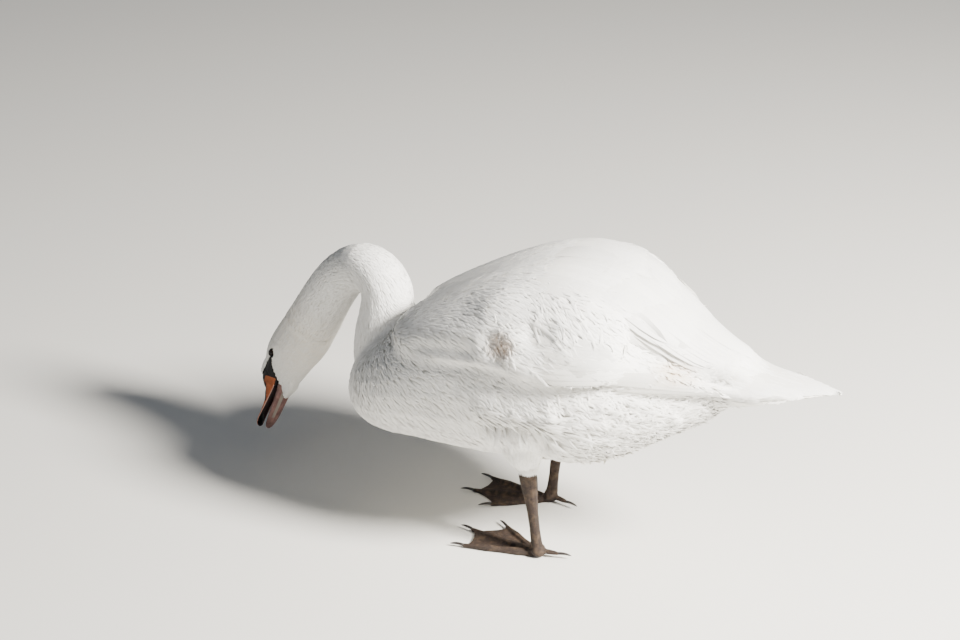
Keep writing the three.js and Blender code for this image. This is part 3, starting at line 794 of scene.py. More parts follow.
# Outlines: shares of a feather's length, and its width there as a share of the full width. The last is
# the tip.
LOCK_OUTLINE = [(0, 0.6), (0.4, 1), (0.78, 0.62), (1, 0)]
LEAF_OUTLINE = [(0, 0.45), (0.3, 0.9), (0.62, 1), (0.86, 0.66), (1, 0)]
QUILL_OUTLINE = [
    (0, 0.45), (0.12, 0.8), (0.26, 0.95), (0.42, 1), (0.58, 1), (0.72, 0.96), (0.83, 0.84), (0.91, 0.64),
    (0.96, 0.42), (0.99, 0.2), (1, 0),
]


def built(lines, normals, widths, thick, outline, section, cup, root_uv, cross=None, roundness=0.45):
    """Closed thin feathers on middle lines (feathers, rows, 3). cup is how far their edges drop, as a share
    of their width, and cross makes the sections in another way. Returns points, quads, triangles, the OFBake
    map, the Vane map, each point's share of the length, and soft normals that mostly follow the body."""
    count, rows = lines.shape[:2]
    share, wide = np.array(outline).T
    section = np.array(section)
    aside = unit(np.cross(np.gradient(lines, axis=1), normals))
    half = widths[:, None] * wide / 2
    if cross is None:
        u, v = section.T
        drop = cup * widths[:, None] * wide
        high = v * thick[:, None, None] - drop[..., None] * u**2
        rings = lines[:, :, None] + aside[:, :, None] * (half[..., None] * u)[..., None]
        rings = rings + normals[:, :, None] * high[..., None]
    else:
        rings = cross(aside, half, section, thick)
    across = len(section)
    body = (rows - 1) * across
    points = np.concatenate([rings[:, :-1].reshape(count, body, 3), lines[:, -1:]], 1)
    quads, triangles = lock_faces(count, rows, across)
    lengths = np.linalg.norm(np.diff(lines, axis=1), axis=-1).sum(1)
    along = np.concatenate([np.repeat(share[:-1], across), [1.0]])
    side = np.concatenate([np.tile(section[:, 0], rows - 1), [0.0]])
    wide_at = np.concatenate([np.repeat(wide[:-1], across), [0.0]])
    bake = root_uv[:, None] + PATCH * np.stack([side * 0.5, along - 0.5], -1)[None]
    off = side * wide_at * widths[:, None] * (VANE_UNIT / 2) + np.arange(count)[:, None] * VANE_STEP
    vane = np.stack([off, along * lengths[:, None] * VANE_UNIT], -1)
    soft = normals[:, :, None] + aside[:, :, None] * (section[:, 0] * roundness)[:, None]
    soft = np.concatenate([soft[:, :-1].reshape(count, body, 3), normals[:, -1:]], 1)
    flat = [part.reshape(-1, part.shape[-1]) for part in (points, quads, triangles, bake, vane)]
    return *flat, np.tile(along, count), unit(soft).reshape(-1, 3)


def lock_faces(count, rows, across):
    """Quads and triangles of feathers whose rows have as many points, save the last, which has one."""
    body = (rows - 1) * across
    first = np.arange(count)[:, None, None] * (body + 1)
    j = np.arange(across)
    last = (rows - 2) * across
    tips = np.stack([last + j, last + (j + 1) % across, np.full(across, body)], -1)
    fan = np.stack([np.zeros(across - 2, int), np.arange(2, across), np.arange(1, across - 1)], -1)
    return first + band(rows - 1, across), first + np.concatenate([tips, fan])


def combed(spots, quads, lengths, outline, seed, sway, root_depth, tip_height, lift, curl=0.0):
    """Middle lines of feathers that start at spots below the form and run along it with the lie. sway and
    curl are in degrees, heights in metres; lift is the spread of the tips' heights."""
    rng = np.random.default_rng(seed)
    share = np.array(outline)[:, 0]
    count = len(spots)
    thigh = form.within("thigh")[quads]
    swing = np.radians(rng.normal(0, sway, count))
    bend = np.radians(rng.normal(0, curl, count)) if curl else np.zeros(count)
    rise = np.abs(rng.normal(0, 1, count)) * lift
    lines = np.empty((count, len(share), 3))
    normals = np.empty_like(lines)
    spot, normal, _ = form.nearest(spots)
    for row, s in enumerate(share):
        if row:
            way = turned(lie_of(spot, normal, thigh), normal, swing + bend * s)
            ahead = spot + way * (lengths * (s - share[row - 1]))[:, None]
            spot, normal, _ = form.nearest(ahead)
        high = -root_depth + (root_depth + tip_height + rise * s) * s**0.7
        lines[:, row] = spot + normal * np.asarray(high)[:, None]
        normals[:, row] = normal
    return lines, normals


def coat_piece(name, chosen, outline, material, seed, *, spacing, length, width, thick, sway, lift, depth,
               tip=-0.4, curl=0.0, roundness=0.45):
    """Small feathers over the chosen quads of the form. Sizes are in millimetres, one for all or one for
    each quad. depth is how deep the roots lie and tip how high the tips do, give or take lift; sway and curl
    are how much their ways vary, in degrees."""
    spots, quads = scattered(chosen, np.asarray(spacing) / 1000, seed)
    rng = np.random.default_rng(seed + 1)
    size = np.clip(rng.normal(1, VARY, len(spots)), *VARY_WITHIN)

    def metres(value):
        return np.broadcast_to(value, len(form.quads))[quads] / 1000

    lines, normals = combed(spots, quads, metres(length) * size, outline, seed + 2, sway, metres(depth),
                            metres(tip), lift / 1000, curl)
    points, fours, threes, bake, vane, along, soft = built(
        lines, normals, metres(width) * size, metres(thick), outline, LOCK_SECTION, CUP, form.uv[quads],
        roundness=roundness,
    )
    triangles = 2 * len(fours) + len(threes)
    if triangles > MOST_TRIANGLES:
        raise RuntimeError(f"{name} has {triangles} triangles")
    tone = np.repeat(rng.random(len(spots)), len(points) // len(spots))
    new_piece(name, points, [fours, threes], material, maps={"OFBake": bake, "Vane": vane},
              marks={"along": along, "tone": tone}, normals=soft)


# ------------------------------------------------------------------ long feathers

# Fans of long feathers on one side: how many, roots from and to, tips from and to, widths from and to, height
# of the first above the form and how much higher each next one lies, which way they face. y is outwards.
CLOAK = [  # the long feathers of the back
    (12, ((120, 6, 408), (84, 88, 376)), ((288, 5, 318), (244, 50, 306)), (40, 34),
     -0.4, -0.05, (0, 0.3, 1)),
    (12, ((84, 6, 419), (58, 92, 386)), ((240, 5, 336), (192, 72, 334)), (42, 34),
     0.1, -0.05, (0, 0.3, 1)),
    (12, ((44, 6, 419), (30, 88, 398)), ((184, 5, 376), (140, 82, 366)), (40, 32),
     0.5, -0.06, (0, 0.3, 1)),
]
SCAPULARS = [  # over the shoulders
    (11, ((4, 6, 409), (0, 82, 398)), ((134, 5, 408), (104, 84, 386)), (36, 28),
     0.7, -0.1, (0, 0.3, 1)),
]
HAND = [  # the greater coverts along the wing's side
    (8, ((30, 144, 344), (42, 153, 299)), ((140, 114, 340), (158, 106, 306)), (24, 14),
     0.2, 0.12, (0, 1, 0.1)),
]
QUILLS = [  # the folded primaries below them
    (6, ((108, 116, 306), (112, 112, 284)), ((262, 56, 292), (292, 40, 275)), (17, 12),
     0.0, 0.12, (0, 1, 0.1)),
]
MIDDLE = [  # single feathers down the midline of the back
    (5, ((-4, 0, 408), (128, 0, 408)), ((98, 0, 417), (284, 0, 320)), (40, 36),
     0.7, -0.1, (0, 0, 1)),
]
TAIL_TOP = [  # the tail's quills, seen from above and from below
    (8, ((296, 2, 293), (262, 46, 288)), ((400, 1, 284), (330, 39, 288)), (22, 18),
     -0.6, -0.1, (0, 0, 1)),
]
TAIL_UNDER = [
    (8, ((262, 2, 255), (258, 44, 262)), ((398, 1, 284), (328, 37, 280)), (22, 18),
     -0.8, 0.1, (0, 0, -1)),
]

ROOT_BOW = 6  # how much higher the middle root of a fan lies than its ends, in millimetres
TIP_JITTER = 1.5  # how much the tips vary, in millimetres
QUILL_DEPTH, TIP_LIFT = 0.0036, 0.0004  # how deep the roots lie and how far the tips stand off, in metres


def fan_rows(fans, side):
    """Roots, tips, widths, heights and facings of every feather in some fans."""

    def mixed(ends, share):
        return np.array(ends[0], float) * (1 - share) + np.array(ends[1], float) * share

    rows = []
    for count, roots, tips, widths, first, step, face in fans:
        for k in range(count):
            share = k / (count - 1)
            root, tip = mixed(roots, share), mixed(tips, share)
            root[2] += ROOT_BOW * math.sin(math.pi * share)
            rows.append((*root, *tip, mixed(widths, share), first + step * k, *face))
    table = np.array(rows, float)
    table[:, [1, 4, 9]] *= side
    return table


def draped(lines, face):
    """Lines dropped onto the form against the way they face. They bridge its hollows, as stiff quills do."""
    above, reach = 0.04, 0.07
    # How far a row may lie below the middle of its neighbours, and a tip below its own line.
    sag, droop = 0.0003, 0.0008
    starts = (lines + face[:, None] * above).reshape(-1, 3)
    ways = -np.broadcast_to(face[:, None], lines.shape).reshape(-1, 3)
    high = above - form.dropped(starts, ways, reach).reshape(lines.shape[:2])
    for row in range(1, high.shape[1]):
        lost = np.isnan(high[:, row])
        high[lost, row] = high[lost, row - 1]
    high = np.nan_to_num(high)
    for _ in range(30):
        middle = (high[:, :-2] + high[:, 2:]) / 2
        high[:, 1:-1] = np.maximum(high[:, 1:-1], middle - sag)
        high[:, -1] = np.maximum(high[:, -1], 2 * high[:, -2] - high[:, -3] - droop)
    return lines + face[:, None] * high[..., None]


def laid(fans, side, seed, thick=0.6):
    """Long vanes laid over the form from their roots to their tips, and on past its edge. Returns what
    built() does, and a tone for each vane."""
    table = fan_rows(fans, side)
    rng = np.random.default_rng(seed)
    count = len(table)
    roots, tips = place(table[:, :3]), place(table[:, 3:6])
    tips = tips + rng.normal(0, TIP_JITTER / 1000, (count, 3)) * [1, 0.5, 0]
    widths, high, face = table[:, 6] / 1000, table[:, 7] / 1000, unit(table[:, 8:])
    share = np.array(QUILL_OUTLINE)[:, 0]
    spots = draped(roots[:, None] + (tips - roots)[:, None] * share[:, None], face)
    normals = form.nearest(spots.reshape(-1, 3))[1].reshape(spots.shape)
    normals = unit(normals + 0.2 * face[:, None])  # they lean a little towards the way the fan faces
    for _ in range(3):
        normals[:, 1:-1] = unit(normals[:, :-2] + 2 * normals[:, 1:-1] + normals[:, 2:])
    normals[:, -1] = normals[:, -2]
    sunk = np.clip(1 - share / 0.35, 0, 1) ** 1.5  # 1 at the root, and 0 from a third of the length
    lifts = high[:, None] * (1 - sunk) - QUILL_DEPTH * sunk + TIP_LIFT * share**3
    lines = spots + normals * lifts[..., None]

    def cross(aside, half, section, thickness):
        """Sections that sag onto the form a little on both sides of the quill."""
        u, v = section.T
        above, reach = 0.012, 0.03
        lowest, highest, off_edge = -0.0065, 0.002, -0.002  # off_edge is the sag where nothing lies below
        flat = spots[:, :, None] + aside[:, :, None] * (half[..., None] * u)[..., None]
        out = np.broadcast_to(normals[:, :, None], flat.shape)
        starts = (flat + out * above).reshape(-1, 3)
        far = form.dropped(starts, -out.reshape(-1, 3), reach).reshape(flat.shape[:3])
        sag = np.clip(np.nan_to_num(above - far, nan=off_edge), lowest, highest)
        for _ in range(2):
            sag[:, 1:-1] = (sag[:, :-2] + 2 * sag[:, 1:-1] + sag[:, 2:]) / 4
        return flat + out * (lifts[:, :, None] + sag + v * thickness[:, None, None])[..., None]

    root_uv = form.uv[form.nearest(roots)[2]]
    thickness = np.full(count, thick / 1000)
    made = built(lines, normals, widths, thickness, QUILL_OUTLINE, VANE_SECTION, 0, root_uv, cross, 0.18)
    return made, rng.random(count)


def vane_piece(name, sets, material):
    """Joins fans that laid() made into one piece."""
    parts, start = [], 0
    for (points, fours, threes, *rest), tones in sets:
        tone = np.repeat(tones, len(points) // len(tones))
        parts.append((points, fours + start, threes + start, *rest, tone))
        start += len(points)
    points, fours, threes, bake, vane, along, soft, tone = (np.concatenate(p) for p in zip(*parts))
    new_piece(name, points, [fours, threes], material,
              maps={"OFBake": bake, "Vane": vane}, marks={"along": along, "tone": tone}, normals=soft)


# ------------------------------------------------------------------ bill, eyes and feet


def tube(rings):
    """Points, quads and end fans of a closed tube through rings (rings, points, 3)."""
    rows, across = rings.shape[:2]
    points = rings.reshape(-1, 3)
    j = np.arange(across)
    after = (j + 1) % across
    first, last = len(points), len(points) + 1
    base = (rows - 1) * across
    ends = [np.stack([j, np.full(across, first), after], -1)]
    ends.append(np.stack([base + j, base + after, np.full(across, last)], -1))
    points = np.concatenate([points, rings[:1].mean(1), rings[-1:].mean(1)])
    return points, band(rows, across), np.concatenate(ends)


def band(rows, across):
    """Quads between closed rings, each with as many points."""
    i, j = np.meshgrid(np.arange(rows - 1), np.arange(across), indexing="ij")
    k = (j + 1) % across
    quads = [i * across + j, i * across + k, (i + 1) * across + k, (i + 1) * across + j]
    return np.stack(quads, -1).reshape(-1, 4)


# Stations of the upper half of the bill: x', half width, z' of the culmen, z' of the cutting edge.
MAXILLA = [
    (18, 12, 15, -6), (32, 14.5, 18.5, -9), (42, 14.6, 18.4, -10.5), (52, 14.6, 16, -11),
    (62, 13.8, 7, -11), (76, 13.2, -2.4, -11), (92, 13.4, -6, -11), (106, 14, -7, -11.4),
    (114, 12.8, -8, -12), (119.5, 9.8, -9.8, -13.4), (122.5, 6, -11.9, -15), (123.6, 3, -13.4, -15.8),
]
# The lower half, as it would lie with the bill shut: x', half width, z' of its upper edge, z' of its keel.
MANDIBLE = [
    (20, 15, -11, -26), (34, 16, -11.5, -29), (46, 14.5, -12, -28.5), (60, 13.2, -12, -27),
    (78, 13.2, -12, -25), (96, 13.2, -12, -22.5), (108, 12, -12, -20), (116, 8.5, -12.3, -17.6),
    (119.5, 4, -13, -15.6),
]
BILL_ROWS = 56
HINGE, GAPE = (16, -10), math.radians(7.5)  # x' and z' of the jaw's hinge, and how far it is open
NOSTRIL = (62, 2.5)  # x' and z' of each nostril's middle
NOSTRIL_HALF, NOSTRIL_LEAN = (9, 2), 0.1  # half length and half height of the black round it, and its slope
GROOVE_HALF, GROOVE_IN, GROOVE_DOWN = (5.5, 2.0), 2.6, 0.8  # the groove that the nostril lies in
BLACK_BASE, BLACK_LEAN = (35.5, -7.3), 0.5  # a point on the edge of the black base, and its slope
LOWER_BLACK = 34  # x' to which the lower half is black
# The web of skin between the lower half's branches: its middle, half width and soft edge, as shares of the
# way from the upper edge to the keel, x' where it ends and over what length, and how far it is drawn in.
WEB_MIDDLE, WEB_HALF, WEB_SOFT, WEB_END, WEB_IN = 0.6, 0.2, 0.05, (104, 8), 0.16
PALATE, MOUTH_BED = 3.4, 2.4  # how deep the mouth is hollowed above and below
# How far down from the culmen the black ridge reaches along the bill: x' and the depths there.
RIDGE = (50, 62, 76, 88), (8.6, 8.6, 6.2, 0.4)
KNOB_AT, KNOB_REACH = (45, 0, 12.2), (9, 7, 7)
NAIL_AT, NAIL_REACH, NAIL_TILT = (115.5, 0, -10.4), (9, 6.6, 3.6), math.radians(24)


def maxilla_rings():
    """The upper half of the bill."""
    rows = between(MAXILLA, np.linspace(0, 1, BILL_ROWS))
    turn = np.linspace(0, 2 * math.pi, 48, endpoint=False)
    x, wide, culmen, edge = (c[:, None] for c in rows.T)
    up = np.sin(turn)
    rise = np.where(up > 0, np.abs(up) ** 0.85, 0)
    y = np.cos(turn) * wide
    z = edge + (culmen - edge) * rise
    # The palate is hollow behind the cutting edge, which has a fine rim.
    inside = np.clip(-up, 0, 1)
    z = z + np.where(up < 0, PALATE * inside**0.5 * np.clip((wide - 7) / 6, 0, 1), 0)
    rim = 1.1 * inside**0.3 * np.clip(wide / 8, 0, 1)
    y = np.where(up < 0, np.cos(turn) * (wide - rim), y)
    # A shallow groove runs from each nostril along the side of the ridge.
    for side in SIDES.values():
        along, up = (x - NOSTRIL[0]) / GROOVE_HALF[0], (z - NOSTRIL[1]) / GROOVE_HALF[1]
        near = np.exp(-(along**2) - up**2) * (y * side > 2)
        y = y - side * GROOVE_IN * near
        z = z - GROOVE_DOWN * near
    return np.stack([np.broadcast_to(x, y.shape), y, z], -1)


def mandible_rings(gape):
    """The lower half of the bill, opened by an angle."""
    rows = between(MANDIBLE, np.linspace(0, 1, BILL_ROWS))
    turn = np.linspace(0, 2 * math.pi, 40, endpoint=False)
    x, wide, edge, keel = (c[:, None] for c in rows.T)
    down = np.sin(turn)
    y = np.cos(turn) * wide
    rise = np.where(down > 0, np.abs(down) ** 0.85, 0)
    z = edge + (keel - edge) * rise
    y = y * (1 - WEB_IN * sunken(np.stack([np.broadcast_to(x, y.shape), y, z], -1)))
    bed = MOUTH_BED * np.clip(-down, 0, 1) ** 0.5 * np.clip((wide - 7) / 6, 0, 1)
    z = z - np.where(down < 0, bed, 0)
    cos, sin = math.cos(gape), math.sin(gape)
    ahead = (x - HINGE[0]) * cos + (z - HINGE[1]) * sin
    rise = (z - HINGE[1]) * cos - (x - HINGE[0]) * sin
    return np.stack([HINGE[0] + ahead, y, HINGE[1] + rise], -1)


def sunken(points):
    """How far a place on the shut lower half lies in the web between a branch and the keel, 0 to 1."""
    x, z = points[..., 0], points[..., 2]
    stations, _, edges, keels = zip(*MANDIBLE)
    edge, keel = np.interp(x, stations, edges), np.interp(x, stations, keels)
    down = (z - edge) / (keel - edge)
    across = np.clip((WEB_HALF - np.abs(down - WEB_MIDDLE)) / WEB_SOFT, 0, 1)
    return across * np.clip((WEB_END[0] - x) / WEB_END[1], 0, 1)


def ahead_of_black(x, z):
    """How far ahead of the black base of the bill a place on its side is: the orange starts at 0."""
    base = x - BLACK_BASE[0] - BLACK_LEAN * (z - BLACK_BASE[1])
    past = x - NOSTRIL[0]
    half_length, half_height = NOSTRIL_HALF
    round_it = np.hypot(past / half_length, (z - NOSTRIL[1] + NOSTRIL_LEAN * past) / half_height)
    nostril = (round_it - 1) * half_height
    stations, _, culmens, _ = zip(*MAXILLA)
    ridge = np.interp(x, stations, culmens) - z - np.interp(x, *RIDGE)
    return np.minimum(np.minimum(base, nostril), ridge)


def bill_marks(points, inside):
    """For the upper bill's colours: how far each point is ahead of the black base and above the cutting edge,
    in millimetres. Points inside the mouth count as below the edge."""
    stations, _, _, edges = zip(*MAXILLA)
    above = np.where(inside, -1.0, points[:, 2] - np.interp(points[:, 0], stations, edges))
    return {"ahead": ahead_of_black(points[:, 0], points[:, 2]), "above": above}


def sphere_rings(middle, radii, rows, across, axes):
    """Rings of an ellipsoid with its poles on its first axis."""
    t = np.linspace(0.02, 0.98, rows)[:, None] * math.pi
    turn = np.linspace(0, 2 * math.pi, across, endpoint=False)
    along = np.broadcast_to(-np.cos(t) * radii[0], (rows, across))
    local = [along, np.sin(t) * np.cos(turn) * radii[1], np.sin(t) * np.sin(turn) * radii[2]]
    return np.asarray(middle, float) + np.stack(local, -1) @ np.asarray(axes, float)


EYE_AT, EYE_RADIUS = (0, 20.6, 12.3), 5.4
PUPIL_EDGE = (2.1, 2.4)  # from the middle of the eye, in millimetres
# The lid's rings, from the almond opening out over the ball and down under the feathers: half length, half
# height, and how far out from the ball's middle they lie.
LID_RINGS = [
    (3.9, 2.4, 5.45), (4.1, 2.6, 5.8), (4.5, 3.0, 6.0), (5.0, 3.5, 6.05), (5.6, 4.1, 4.6), (6.2, 4.8, 2.6),
]
# The edge of the feathers below and above the bare skin between the eye and the bill: x' and z'.
BELOW_LORE = [
    (3, 9.1), (8, 6.8), (18, 5), (26.6, -1.4), (30, -5.8), (36.3, -12.8), (41.8, -19.4), (46.8, -23.8),
    (52.4, -27.6), (60, -29.8),
]
ABOVE_LORE = [(3, 12.8), (8, 13), (18.8, 14.8), (23.4, 16.5), (38, 17), (45, 17.6), (49, 18.2), (51, 24)]
EYE_BARE = (5.2, 3.8)  # half length and half height of the bare skin round the eye
CHEEK = 12  # y' from which a place is on the side of the head
BILL_FROM = 50.5  # x' from which no feathers grow above BELOW_LORE
LORE_LENGTH, LORE_LOWEST = 46, -14.5  # how far the piece of bare skin runs along x', and its lowest z'
LORE_SUNK, LORE_EDGE_SUNK, LORE_EDGE = 0.0003, 0.0016, 1.2  # metres, more metres at its edge, its edge's mm
LORE_STRIP, LORE_STRIP_TOP = 2.4, -9.6  # the black strip along its lower edge: its width, and z' up to which


def lore_edges(x):
    """z' of the lower and the upper edge of the bare skin at x'."""
    return [np.interp(x, *np.array(rows, float).T) for rows in (BELOW_LORE, ABOVE_LORE)]


def bare_face(points):
    """Which places on the head grow no feathers: the lores, round the eye, and where the bill comes out."""
    x, y, z = head_place(points).T
    low, high = lore_edges(x)
    lore = (x > BELOW_LORE[0][0]) & (z > low) & (z < high)
    eye = ((x - EYE_AT[0]) / EYE_BARE[0]) ** 2 + ((z - EYE_AT[2]) / EYE_BARE[1]) ** 2 < 1
    front = (x > BILL_FROM) & (z > low)
    return lore | (eye & (np.abs(y) > CHEEK)) | front


# ------------------------------------------------------------------ settings


def colour(name, description, default):
    """A colour that a user may change, from an sRGB hex value."""
    return FloatVectorProperty(
        name=name, description=description, default=linear(default), subtype="COLOR", size=3, min=0, max=1
    )


def size(name, description, default):
    """A length that a user may change, from millimetres."""
    return FloatProperty(
        name=name, description=description, default=default / 1000, unit="LENGTH", min=0, precision=4
    )


def power(name, description, default):
    """A light's power that a user may change, in watts."""
    return FloatProperty(name=name, description=description, default=default, unit="POWER", min=0)


class SwanPlumage(bpy.types.PropertyGroup):
    white: colour("Feather white", "Tips of the contour feathers", "#F4F3EF")
    # The down colour is partly the down's own grey and partly painted shade at the feathers' roots and on the
    # skin between them.
    down: colour("Down", "The downy root of each feather", "#E6E3DB")
    flight: colour("Flight feathers", "Vanes of the wing and tail", "#F6F5F1")
    head_length: size("Head feathers", "Length of the short feathers on the head", 6.5)
    neck_length: size("Neck feathers", "Length of the feathers on the neck", 14)
    body_length: size("Body feathers", "Length of the feathers on the breast and belly", 21)
    covert_length: size("Wing coverts", "Length of the loose coverts on the side of the wing", 44)


class SwanBareParts(bpy.types.PropertyGroup):
    bill: colour("Bill", "Sides of the upper bill", "#A35A36")
    mandible: colour("Lower bill", "Branches of the lower bill", "#8A6A64")
    black: colour("Black skin", "Lores, knob, nail and edges of the bill", "#09090C")
    leg: colour("Legs", "Leathery skin of the legs and feet", "#33271F")
    iris: colour("Iris", "Colour of the eye", "#2A1A10")


class SwanStage(bpy.types.PropertyGroup):
    floor: colour("Floor", "Pale studio floor", "#D8D6D0")
    key: power("Key light", "Power of the main light", 560)
    fill: power("Fill light", "Power of the light opposite", 9)


# ------------------------------------------------------------------ operators


class SWAN_OT_skin(bpy.types.Operator):
    """One skin in place of the nodes of flesh, as far inside them as the plumage is deep"""

    bl_idname = "swan.skin"
    bl_label = "Skin"

    def execute(self, context):
        global form
        form = Form()
        material = down_material(tuple(context.scene.swan_plumage.down))
        skin = new_piece("skin", form.skin(), [form.quads], material, FLESH)
        unwrap(skin)
        uv = np.empty(len(skin.data.loops) * 2, np.float32)
        skin.data.uv_layers["OFBake"].uv.foreach_get("vector", uv)
        form.uv = uv.reshape(-1, 4, 2).mean(1)
        return {"FINISHED"}


def unwrap(obj):
    """An unwrap of the piece's own shape, in a map named OFBake."""
    obj.data.uv_layers.new(name="OFBake")
    for other in bpy.context.selected_objects:
        other.select_set(False)
    obj.select_set(True)
    bpy.context.view_layer.objects.active = obj
    bpy.ops.object.mode_set(mode="EDIT")
    bpy.ops.mesh.select_all(action="SELECT")
    bpy.ops.uv.smart_project(angle_limit=math.radians(66), island_margin=0.002)
    bpy.ops.object.mode_set(mode="OBJECT")
    obj.select_set(False)


TAIL_BASE_END = 318  # x to which small feathers cover the base of the tail


class SWAN_OT_coat(bpy.types.Operator):
    """Small feathers of the head, neck, trunk and thighs, laid over the skin with their lie"""

    bl_idname = "swan.coat"
    bl_label = "Coat"

    def execute(self, context):
        sizes = context.scene.swan_plumage
        # Soft body feathers: matt keratin with a faint sheen from loose barbs.
        soft = feather_material("soft contour feathers", tuple(sizes.white), tuple(sizes.down), 0.75,
                                Sheen_Weight=0.1, Sheen_Roughness=0.5)
        head_coat(soft, sizes.head_length * 1000)
        neck_coat(soft, sizes.neck_length * 1000)
        trunk_coat(soft, sizes.body_length * 1000)
        coat_piece("plumage_thighs", form.within("thigh"), LOCK_OUTLINE, soft, 61, spacing=2.3, length=22,
                   width=3.4, thick=0.25, sway=9, lift=0.8, depth=3)
        for name in SIDES:
            cuff(name, soft)
        tail = form.within("tail", "primaries") & (middles_of_form()[0] < TAIL_BASE_END)
        coat_piece("plumage_tail_base", tail, LEAF_OUTLINE, soft, 71, spacing=4.6, length=34, width=11,
                   thick=0.3, sway=6, lift=0.3, depth=1.8)
        return {"FINISHED"}


def middles_of_form():
    """x, y and z of the middles of the form's quads, in millimetres from the midpoint between the heels."""
    return (form.middles * 1000 - [HEELS_X, 0, 0]).T


def head_coat(soft, length):
    """Short feathers on the head, closest and shortest round the bill."""
    chosen = form.within("head") & ~bare_face(form.middles)
    small = np.interp(head_place(form.middles)[:, 0], [-50, 0, 40], [1.5, 1.2, 1.0])
    coat_piece("plumage_head", chosen, LOCK_OUTLINE, soft, 11, spacing=small, length=small * length,
               width=small * 1.4, thick=0.13, sway=7, lift=0.06, depth=1.3, tip=-0.3, roundness=0.35)


def neck_coat(soft, length):
    """Feathers of the neck, in three pieces: below the head, over the arch, and down to the breast."""
    x, _, z = middles_of_form()
    neck = form.within("neck")
    ahead = x < -330
    parts = {"upper": neck & ahead, "arch": neck & ~ahead & (z > 280), "lower": neck & ~ahead & (z <= 280)}
    for part, chosen in parts.items():
        coat_piece(f"plumage_neck_{part}", chosen, LOCK_OUTLINE, soft, 21, spacing=1.95, length=length,
                   width=2.9, thick=0.2, sway=8, lift=0.2, depth=2.1, tip=-0.3)


def trunk_coat(soft, length):
    """Feathers of the breast, belly and rear, and the fringe of the flank."""
    x, y, z = middles_of_form()
    trunk = form.within("trunk") & ~on_back(x, z)
    breast, rear = trunk & (x < -80), trunk & (x >= 70)
    belly = trunk & ~breast & ~rear
    off_neck = np.clip((x + 280) / 80, 0, 1)  # they are shorter and closer next to the neck
    coat_piece("plumage_breast", breast, LOCK_OUTLINE, soft, 31, spacing=2.2 + 0.5 * off_neck,
               length=length * (0.7 + 0.2 * off_neck), width=3.4 + 0.9 * off_neck, thick=0.22,
               sway=10, lift=0.45, depth=3.4, curl=8)
    coat_piece("plumage_belly", belly, LOCK_OUTLINE, soft, 41, spacing=2.8, length=length, width=4.6,
               thick=0.24, sway=14, lift=0.8, depth=3.4, curl=12)
    coat_piece("plumage_rear", rear, LOCK_OUTLINE, soft, 51, spacing=2.8, length=length * 1.1, width=5.0,
               thick=0.24, sway=24, lift=2.2, depth=3.4, curl=24)
    # Longer feathers hang over the top of the thigh from the lower edge of the flank.
    flank = trunk & (np.abs(y) > 96) & (np.abs(z - 226) < 14) & (np.abs(x - 14) < 62)
    coat_piece("plumage_flank", flank, LOCK_OUTLINE, soft, 55, spacing=3.8, length=38, width=6.5,
               thick=0.3, sway=16, lift=4.5, depth=3, tip=3, curl=14, roundness=0.6)


# The cuff's feathers in metres: where they start and end above the floor, their width and thickness, how deep
# their roots lie and how high the rest, and how far from the shank's line the surfaces are looked for.
CUFF_ROOTS, CUFF_TIPS, CUFF_WIDTH, CUFF_THICK = (0.131, 0.141), (0.1208, 0.1262), 0.0021, 0.0003
CUFF_SUNK, CUFF_RAISED, CUFF_REACH = 0.002, 0.0006, 0.03


def cuff(name, material, count=420):
    """Feathers that hang from the thigh over the top of the shank, all the way round."""
    rng = np.random.default_rng(65)
    solid, faces = node_mesh(f"shank_{name}")
    shank = BVHTree.FromPolygons(solid.tolist(), faces.tolist())
    top = solid[solid[:, 2] > solid[:, 2].max() - 0.012].mean(0)  # the middle of its last 12 mm
    turn = (np.arange(count) + rng.uniform(-0.4, 0.4, count)) * 2 * math.pi / count
    out = np.stack([np.cos(turn), np.sin(turn), np.zeros(count)], -1)
    share = np.array(LOCK_OUTLINE)[:, 0]
    roots, tips = rng.uniform(*CUFF_ROOTS, count), rng.uniform(*CUFF_TIPS, count)
    lines = np.empty((count, len(share), 3))
    for k, way in enumerate(out):
        wide = 0.014  # from the shank's line, until a surface is found
        for row, s in enumerate(share):
            middle = np.array([*top[:2], roots[k] + (tips[k] - roots[k]) * s])
            start = (middle + way * CUFF_REACH).tolist()
            hits = [tree.ray_cast(start, (-way).tolist(), CUFF_REACH)[3] for tree in (form.tree, shank)]
            wide = max([CUFF_REACH - h for h in hits if h is not None and h > 0.004] or [wide])
            lines[k, row] = middle + way * (wide + (-CUFF_SUNK if row == 0 else CUFF_RAISED))
    normals = np.repeat(out[:, None], len(share), 1)
    roots_uv = form.uv[form.nearest(lines[:, 0])[2]]
    widths, thick = np.full(count, CUFF_WIDTH), np.full(count, CUFF_THICK)
    points, fours, threes, bake, vane, along, soft = built(
        lines, normals, widths, thick, LOCK_OUTLINE, LOCK_SECTION, 0.1, roots_uv
    )
    tone = np.repeat(rng.random(count), len(points) // count)
    new_piece(f"plumage_cuff_{name}", points, [fours, threes], material,
              maps={"OFBake": bake, "Vane": vane}, marks={"along": along, "tone": tone}, normals=soft)


def on_back(x, z):
    """The top of the trunk, where it shows between the wings: it wears the same feathers as they do."""
    return (x > -110) & (z > 335)


